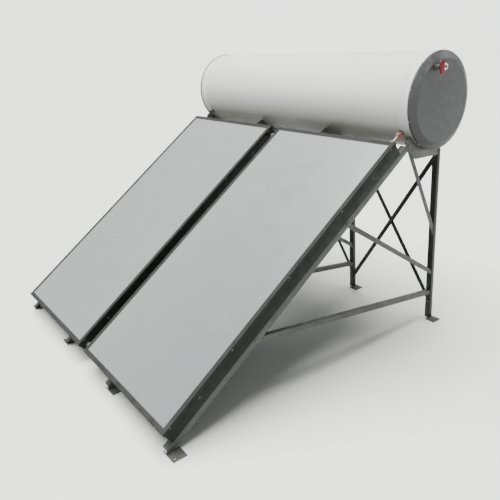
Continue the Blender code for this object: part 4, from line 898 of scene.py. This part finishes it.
def add_caps():
    for word in ("right", "left"):
        place = CAP_PLACE[word]
        trim = bmesh.new()
        add_ring(trim, place, JACKET_RADIUS - 0.0005, JACKET_RADIUS + 0.0013, JACKET_HALF - TRIM_WIDTH,
                 JACKET_HALF - 0.0002, 0.0006, TANK_SIDES)
        add_piece(f"jacket_trim_{word}", trim, "trim_white", smooth_angle=60)

        skirt_end = CAP_START + SKIRT_LENGTH
        corners = [(CAP_FACE, 0, 0), (CAP_FACE, CAP_FACE_RADIUS, 0), (skirt_end, CAP_RADIUS, 0),
                   (CAP_START, CAP_RADIUS, 0)]
        outside = [(point.x, point.y) for point in rounded_route(corners, 0.005, 4)]
        inside = [(CAP_START + 0.0008, CAP_RADIUS), (CAP_START, CAP_RADIUS - 0.0008),
                  (CAP_START, CAP_RADIUS - CAP_WALL), (skirt_end - 0.001, CAP_RADIUS - CAP_WALL),
                  (CAP_FACE - 0.005, CAP_FACE_RADIUS - 0.002), (CAP_FACE - 0.005, 0)]
        bm = turned(outside[:-1] + inside, TANK_SIDES)
        bm.transform(place)
        add_piece(f"end_cap_{word}_shell", bm, "cap_plastic", nodes=[f"end_cap_{word}"], smooth_angle=50)

        screws = bmesh.new()
        outward = place.to_3x3() @ Z_AXIS
        for step in range(CAP_SCREWS):
            out = radial((step + 0.5) * math.tau / CAP_SCREWS)
            point = TANK + outward * (CAP_START + 0.0055) + out * (CAP_RADIUS - 0.0002)
            add_screw(screws, point, out, 0.0034, step * 0.8)
        add_piece(f"end_cap_screws_{word}", screws, "zinc")


INLET_BORE, INLET_RADIUS = 0.0106, 0.0142
INLET_PITCH = 0.0018
INLET_ASIDE = 0.0118  # the mount point lies on the nipple's rim, this far from its axis


def add_jacket_grommets():
    """Rubber collars round the nipples that leave the jacket, and the cold inlet's pipe thread."""
    rubber = bmesh.new()
    collar = [(0.002, 0.0138), (0.0026, 0.0146), (0.0024, 0.0172), (0.0008, 0.0194), (-0.003, 0.02),
              (-0.003, 0.0138)]
    for x in (PORT, -PORT):
        centre = Vector((EDGE.x + x, TANK.y, TANK.z)) - UP_SLOPE * JACKET_RADIUS
        merge(rubber, turned(collar, 36), placed(centre, -UP_SLOPE))
    mounts = {mount["name"]: mount for mount in frame["record"]["mounts"]}
    mount = Vector(mounts["cold_water_inlet"]["pos_m"])
    inlet = placed(Vector((mount.x - INLET_ASIDE, TANK.y, TANK.z - JACKET_RADIUS)), -Z_AXIS)
    merge(rubber, turned(collar, 36), inlet)
    add_piece("nipple_grommets", rubber, "rubber")

    length = TANK.z - JACKET_RADIUS - mount.z
    profile = [(length - 0.0002, INLET_BORE)]
    for turn in range(int((length - 0.006) / INLET_PITCH)):
        top = length - 0.0006 - turn * INLET_PITCH
        profile += [(top, INLET_RADIUS - INLET_PITCH / 2), (top - INLET_PITCH / 2, INLET_RADIUS)]
    profile += [(0.004, INLET_RADIUS - 0.0004), (0.004, INLET_BORE)]
    threads = turned(profile, 32)
    threads.transform(inlet)
    add_piece("inlet_thread", threads, "nickel")


# ---- valve and outlet on the right cap ----
def add_outlet():
    """Hot outlet: white plastic sleeve with a ribbed grip, a rim and a darker pipe mouth."""
    low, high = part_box("hot_outlet")
    centre = (low + high) / 2
    place = placed(Vector((low.x, centre.y, centre.z)), X_AXIS)
    reach = high.x - low.x
    bm = bmesh.new()
    profile = [(reach, 0.0105), (reach, 0.0158), (reach - 0.0008, 0.0166), (reach - 0.003, 0.0166),
               (reach - 0.004, 0.0182), (reach - 0.018, 0.0182), (reach - 0.0195, 0.0172), (0.0095, 0.0172),
               (0.008, 0.0188), (0.0006, 0.0192), (0, 0.0188), (0, 0.0105)]
    merge(bm, turned(profile, 48), place)
    rib_count = 16
    for step in range(rib_count):
        rib = prism([(0.0178, -0.0009), (0.0189, -0.0005), (0.0189, 0.0005), (0.0178, 0.0009)],
                    reach - 0.017, reach - 0.005)
        merge(bm, rib, place @ Matrix.Rotation(step * math.tau / rib_count, 4, "Z"))
    add_piece("hot_outlet_sleeve", bm, "white_plastic", nodes=["hot_outlet"])
    mouth = bmesh.new()
    add_ring(mouth, place, 0.0088, 0.0106, reach * 0.4, reach - 0.001, 0.0002, 32)
    add_piece("hot_outlet_liner", mouth, "nickel")


def add_relief_valve():
    """Relief valve: hexagon body with lugs for the lever, its spindle, and the lever with moulded ribs."""
    spindle = middle_of("relief_valve_spindle")
    base_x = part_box("relief_valve_body")[0].x
    place = placed(Vector((base_x, spindle.y, spindle.z)), X_AXIS, Z_AXIS)
    crisp("relief_valve_body", "relief_valve_casting", "dark_fitting", 0.0004)
    nuts = bmesh.new()
    add_ring(nuts, place, 0.0136, 0.0192, 0.0002, 0.0022, 0.0005, 40)
    merge(nuts, prism(polygon(0.0205, 6, math.radians(30)), 0.0024, 0.0122, 0.0007), place)
    add_piece("relief_valve_hexagon", nuts, "dark_fitting")
    crisp("relief_valve_spindle", "relief_valve_stem", "nickel", 0.0003, "valve_spindle")

    lever_low, lever_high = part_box("relief_valve_lever")
    crisp("relief_valve_lever", "relief_valve_handle", "red_plastic", 0.0011, LEVER_BODY)
    ribs = bmesh.new()
    centre_y = (lever_low.y + lever_high.y) / 2
    outline = [(-0.011, -0.0009), (0.011, -0.0009), (0.0118, 0), (0.011, 0.0009), (-0.011, 0.0009),
               (-0.0118, 0)]
    for rise in evenly(0.012, 0.034, 5):
        spot = Vector((lever_high.x, centre_y, lever_low.z + rise))
        merge(ribs, prism(outline, -0.0003, 0.0011), placed(spot, X_AXIS, Y_AXIS))
    add_piece("relief_valve_handle_ribs", ribs, "red_plastic", LEVER_BODY)
    pin = bmesh.new()
    hinge = Vector(next(joint for joint in frame["joints"] if joint["name"] == "lever_hinge")["pos_m"])
    dome = [(0.0016, 0), (0.0015, 0.0012), (0.0009, 0.0026), (0, 0.0032), (-0.0004, 0.0032),
            (-0.0004, 0)]
    for side in (-Y_AXIS, Y_AXIS):
        merge(pin, turned(dome, 20), placed(hinge + side * 0.0088, side))
    add_piece("relief_valve_pin_heads", pin, "nickel", LEVER_BODY)


# ---- riser and downcomer ----
RISER_RADIUS = 0.0185  # of its nuts, as in the CAD model


def add_riser():
    """Hot riser: nuts top and bottom, sealing rings, and a short pipe with two beads between them."""
    low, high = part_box("riser_pipe")
    half = ((high.z - low.z) / 2 - RISER_RADIUS * COS_TILT) / SIN_TILT
    place = placed((low + high) / 2, UP_SLOPE, X_AXIS)
    pipe = bmesh.new()
    add_ring(pipe, place, 0.0105, 0.0128, 0.001 - half, half - 0.001, 0.0004)
    for z in (-0.012, 0.004):
        add_ring(pipe, place, 0.0125, 0.0136, z, z + 0.0022, 0.0006)
    merge(pipe, hex_head(0.0335, -half, 0.018 - half), place)
    add_ring(pipe, place, 0.0125, 0.0152, 0.018 - half, 0.0235 - half, 0.0018)
    add_piece("riser_pipe_plated", pipe, "brass", nodes=["riser_pipe"])
    nut = bmesh.new()
    flipped = place @ FLIP
    merge(nut, hex_head(0.0345, -half, 0.022 - half), flipped)
    add_ring(nut, flipped, 0.0125, 0.0156, 0.022 - half, 0.029 - half, 0.002)
    add_piece("riser_top_nut", nut, "copper_nut")


PIPE_RADIUS = 0.011
PIPE_BEND = 0.019
UNDER_CASING = COLLECTOR_DEPTH + 0.03
TOP_BEND = 2.05  # where the pipe turns down behind the casing, along the slope
NIPPLE_REACH = 0.2918  # from the tank's axis to the end of a nipple


def add_downcomer():
    """Cold downcomer: drawn copper pipe with soldered elbows, held by clips under the casing."""
    x = EDGE.x - PORT
    nipple_end = (TANK - EDGE).dot(UP_SLOPE) - NIPPLE_REACH
    corners = [
        on_slope(x, nipple_end, HEADER_DEPTH),
        on_slope(x, TOP_BEND, HEADER_DEPTH),
        on_slope(x, TOP_BEND, UNDER_CASING),
        on_slope(x, HEADER_INSET, UNDER_CASING),
        on_slope(x, HEADER_INSET, COLLECTOR_DEPTH + 0.0063),
    ]
    route = rounded_route(corners, PIPE_BEND)
    bm = swept(route, [PIPE_RADIUS] * len(route), 28)
    add_piece("downcomer_pipe_drawn", bm, "copper", nodes=["downcomer_pipe"])

    elbow = rounded_route([corners[1].lerp(corners[0], 0.6), corners[1], corners[1].lerp(corners[2], 0.35)],
                          PIPE_BEND)
    add_piece("downcomer_top_elbow", swept(elbow, [PIPE_RADIUS + 0.0025] * len(elbow), 28), "dark_fitting")

    cups = bmesh.new()
    cup = [(0.0135, 0.0109), (0.0135, 0.0124), (0.0125, 0.0131), (0.0015, 0.0131), (0, 0.0124),
           (0, 0.0109)]
    for before, corner, after in zip(corners[1:], corners[2:], corners[3:]):
        for other in (before, after):
            away = (other - corner).normalized()
            merge(cups, turned(cup, 32), placed(corner + away * PIPE_BEND, away))
    add_piece("downcomer_solder_cups", cups, "copper")

    nuts = bmesh.new()
    top = placed(corners[0], -UP_SLOPE, X_AXIS)
    merge(nuts, hex_head(0.0345, 0.0003, 0.02), top)
    add_ring(nuts, top, 0.0112, 0.0155, 0.02, 0.026, 0.002)
    bottom = placed(corners[-1], -OUT_OF_GLAZING, X_AXIS)
    merge(nuts, hex_head(0.0285, -0.002, 0.0055), bottom)
    add_piece("downcomer_nuts", nuts, "dark_fitting")

    clips = bmesh.new()
    for along in (0.4, 1.0, 1.6):
        add_pipe_clip(clips, on_slope(x, along, UNDER_CASING))
    add_piece("downcomer_clips", clips, "zinc")


def add_pipe_clip(bm, centre):
    """Sheet saddle clip round the pipe, with feet screwed to the casing's back sheet."""
    outer, inner, width = 0.0126, 0.0112, 0.009
    foot = UNDER_CASING - COLLECTOR_DEPTH - 0.0005
    profile = [(-0.027, foot), (-0.027, foot - 0.0014), (-outer, foot - 0.0014)]
    profile += arc(outer, math.pi, math.tau, 12)
    profile += [(outer, foot - 0.0014), (0.027, foot - 0.0014), (0.027, foot), (inner, foot)]
    profile += [*arc(inner, 0, -math.pi, 12), (-inner, foot)]
    # Local X runs across, local Y out of the glazing and local Z along the slope.
    turn = placed(centre, UP_SLOPE, X_AXIS)
    merge(bm, prism(profile, -width / 2, width / 2), turn)
    for sign in (-1, 1):
        spot = centre + X_AXIS * sign * 0.02 + OUT_OF_GLAZING * (foot - 0.0014)
        add_screw(bm, spot, -OUT_OF_GLAZING, 0.0034)


# ---- CAD nodes that stay as they are ----
KEPT_NODES = {
    "solar_glass_left": "solar_glass", "solar_glass_right": "solar_glass",
    "back_insulation_left": "mineral_wool", "back_insulation_right": "mineral_wool",
    "absorber_harp_left": "copper", "absorber_harp_right": "copper",
    "inner_tank": "vessel_steel", "anode_rod": "magnesium", "foam_insulation": "foam",
}


def paint_kept_nodes():
    for node, look in KEPT_NODES.items():
        mesh = frame["nodes"][node].data
        mesh.materials.clear()
        mesh.materials.append(LOOKS[look])


# ---- floor, light and camera ----
HORIZON = (2.65, 2.68, 2.6)  # sky radiance at the horizon, close to the lit floor's
ZENITH = (0.3, 0.31, 0.31)
HORIZON_BAND = (0.08, 0.14)  # heights of the sky direction between which the bright band fades


def add_stage():
    bpy.ops.mesh.primitive_circle_add(vertices=96, radius=60, fill_type="NGON", location=(0, 0, -0.0005))
    floor = bpy.context.object
    floor.name = "floor"
    floor.data.materials.append(Surface("floor_paint", (0.76, 0.77, 0.74), 0.9).done())
    world = bpy.data.worlds.new("studio")
    bpy.context.scene.world = world
    graph = Graph(world)
    height = graph.part_of(graph.add("TexCoord", {})["Generated"], "Z")
    above = graph.ranged(height, *HORIZON_BAND, interpolation_type="SMOOTHSTEP")
    graph.feed(graph.nodes["Background"].inputs["Color"], graph.blend(above, (*HORIZON, 1), (*ZENITH, 1)))


def add_sun():
    """One soft distant lamp high above the object."""
    light = bpy.data.lights.new("key", "SUN")
    light.energy = 10.0
    light.angle = math.radians(60)
    holder = bpy.data.objects.new("key", light)
    bpy.context.scene.collection.objects.link(holder)
    holder.rotation_mode = "QUATERNION"
    holder.rotation_quaternion = Vector((-0.2, -0.08, 0.97)).to_track_quat("Z", "Y")


CAMERA_AZIMUTH = math.radians(54.15)
CAMERA_ELEVATION = math.radians(21.09)
CAMERA_ROLL = math.radians(-3.25)
CAMERA_FROM_EDGE = Vector((3.0493, -0.8555, 1.8701))  # height from the ground, the rest from EDGE


def add_camera():
    data = bpy.data.cameras.new("camera")
    data.lens = 39.16
    data.sensor_width = 36.0
    camera = bpy.data.objects.new("camera", data)
    bpy.context.scene.collection.objects.link(camera)
    flat = math.cos(CAMERA_ELEVATION)
    back = Vector((math.sin(CAMERA_AZIMUTH) * flat, -math.cos(CAMERA_AZIMUTH) * flat,
                   math.sin(CAMERA_ELEVATION)))
    point = Vector((EDGE.x, EDGE.y, 0)) + CAMERA_FROM_EDGE
    camera.matrix_world = placed(point, back, Z_AXIS.cross(back), CAMERA_ROLL)
    bpy.context.scene.camera = camera


add_camera()
add_stage()
add_sun()
dress_stand()
add_frame_bolts()
add_brace_bolts()
add_welds()
for collector_word, (collector_x, _) in COLLECTORS.items():
    dress_collector(collector_word, collector_x)
add_unions()
add_pipe_grommets()
add_jacket()
add_caps()
add_jacket_grommets()
add_outlet()
add_relief_valve()
add_riser()
add_downcomer()
paint_kept_nodes()
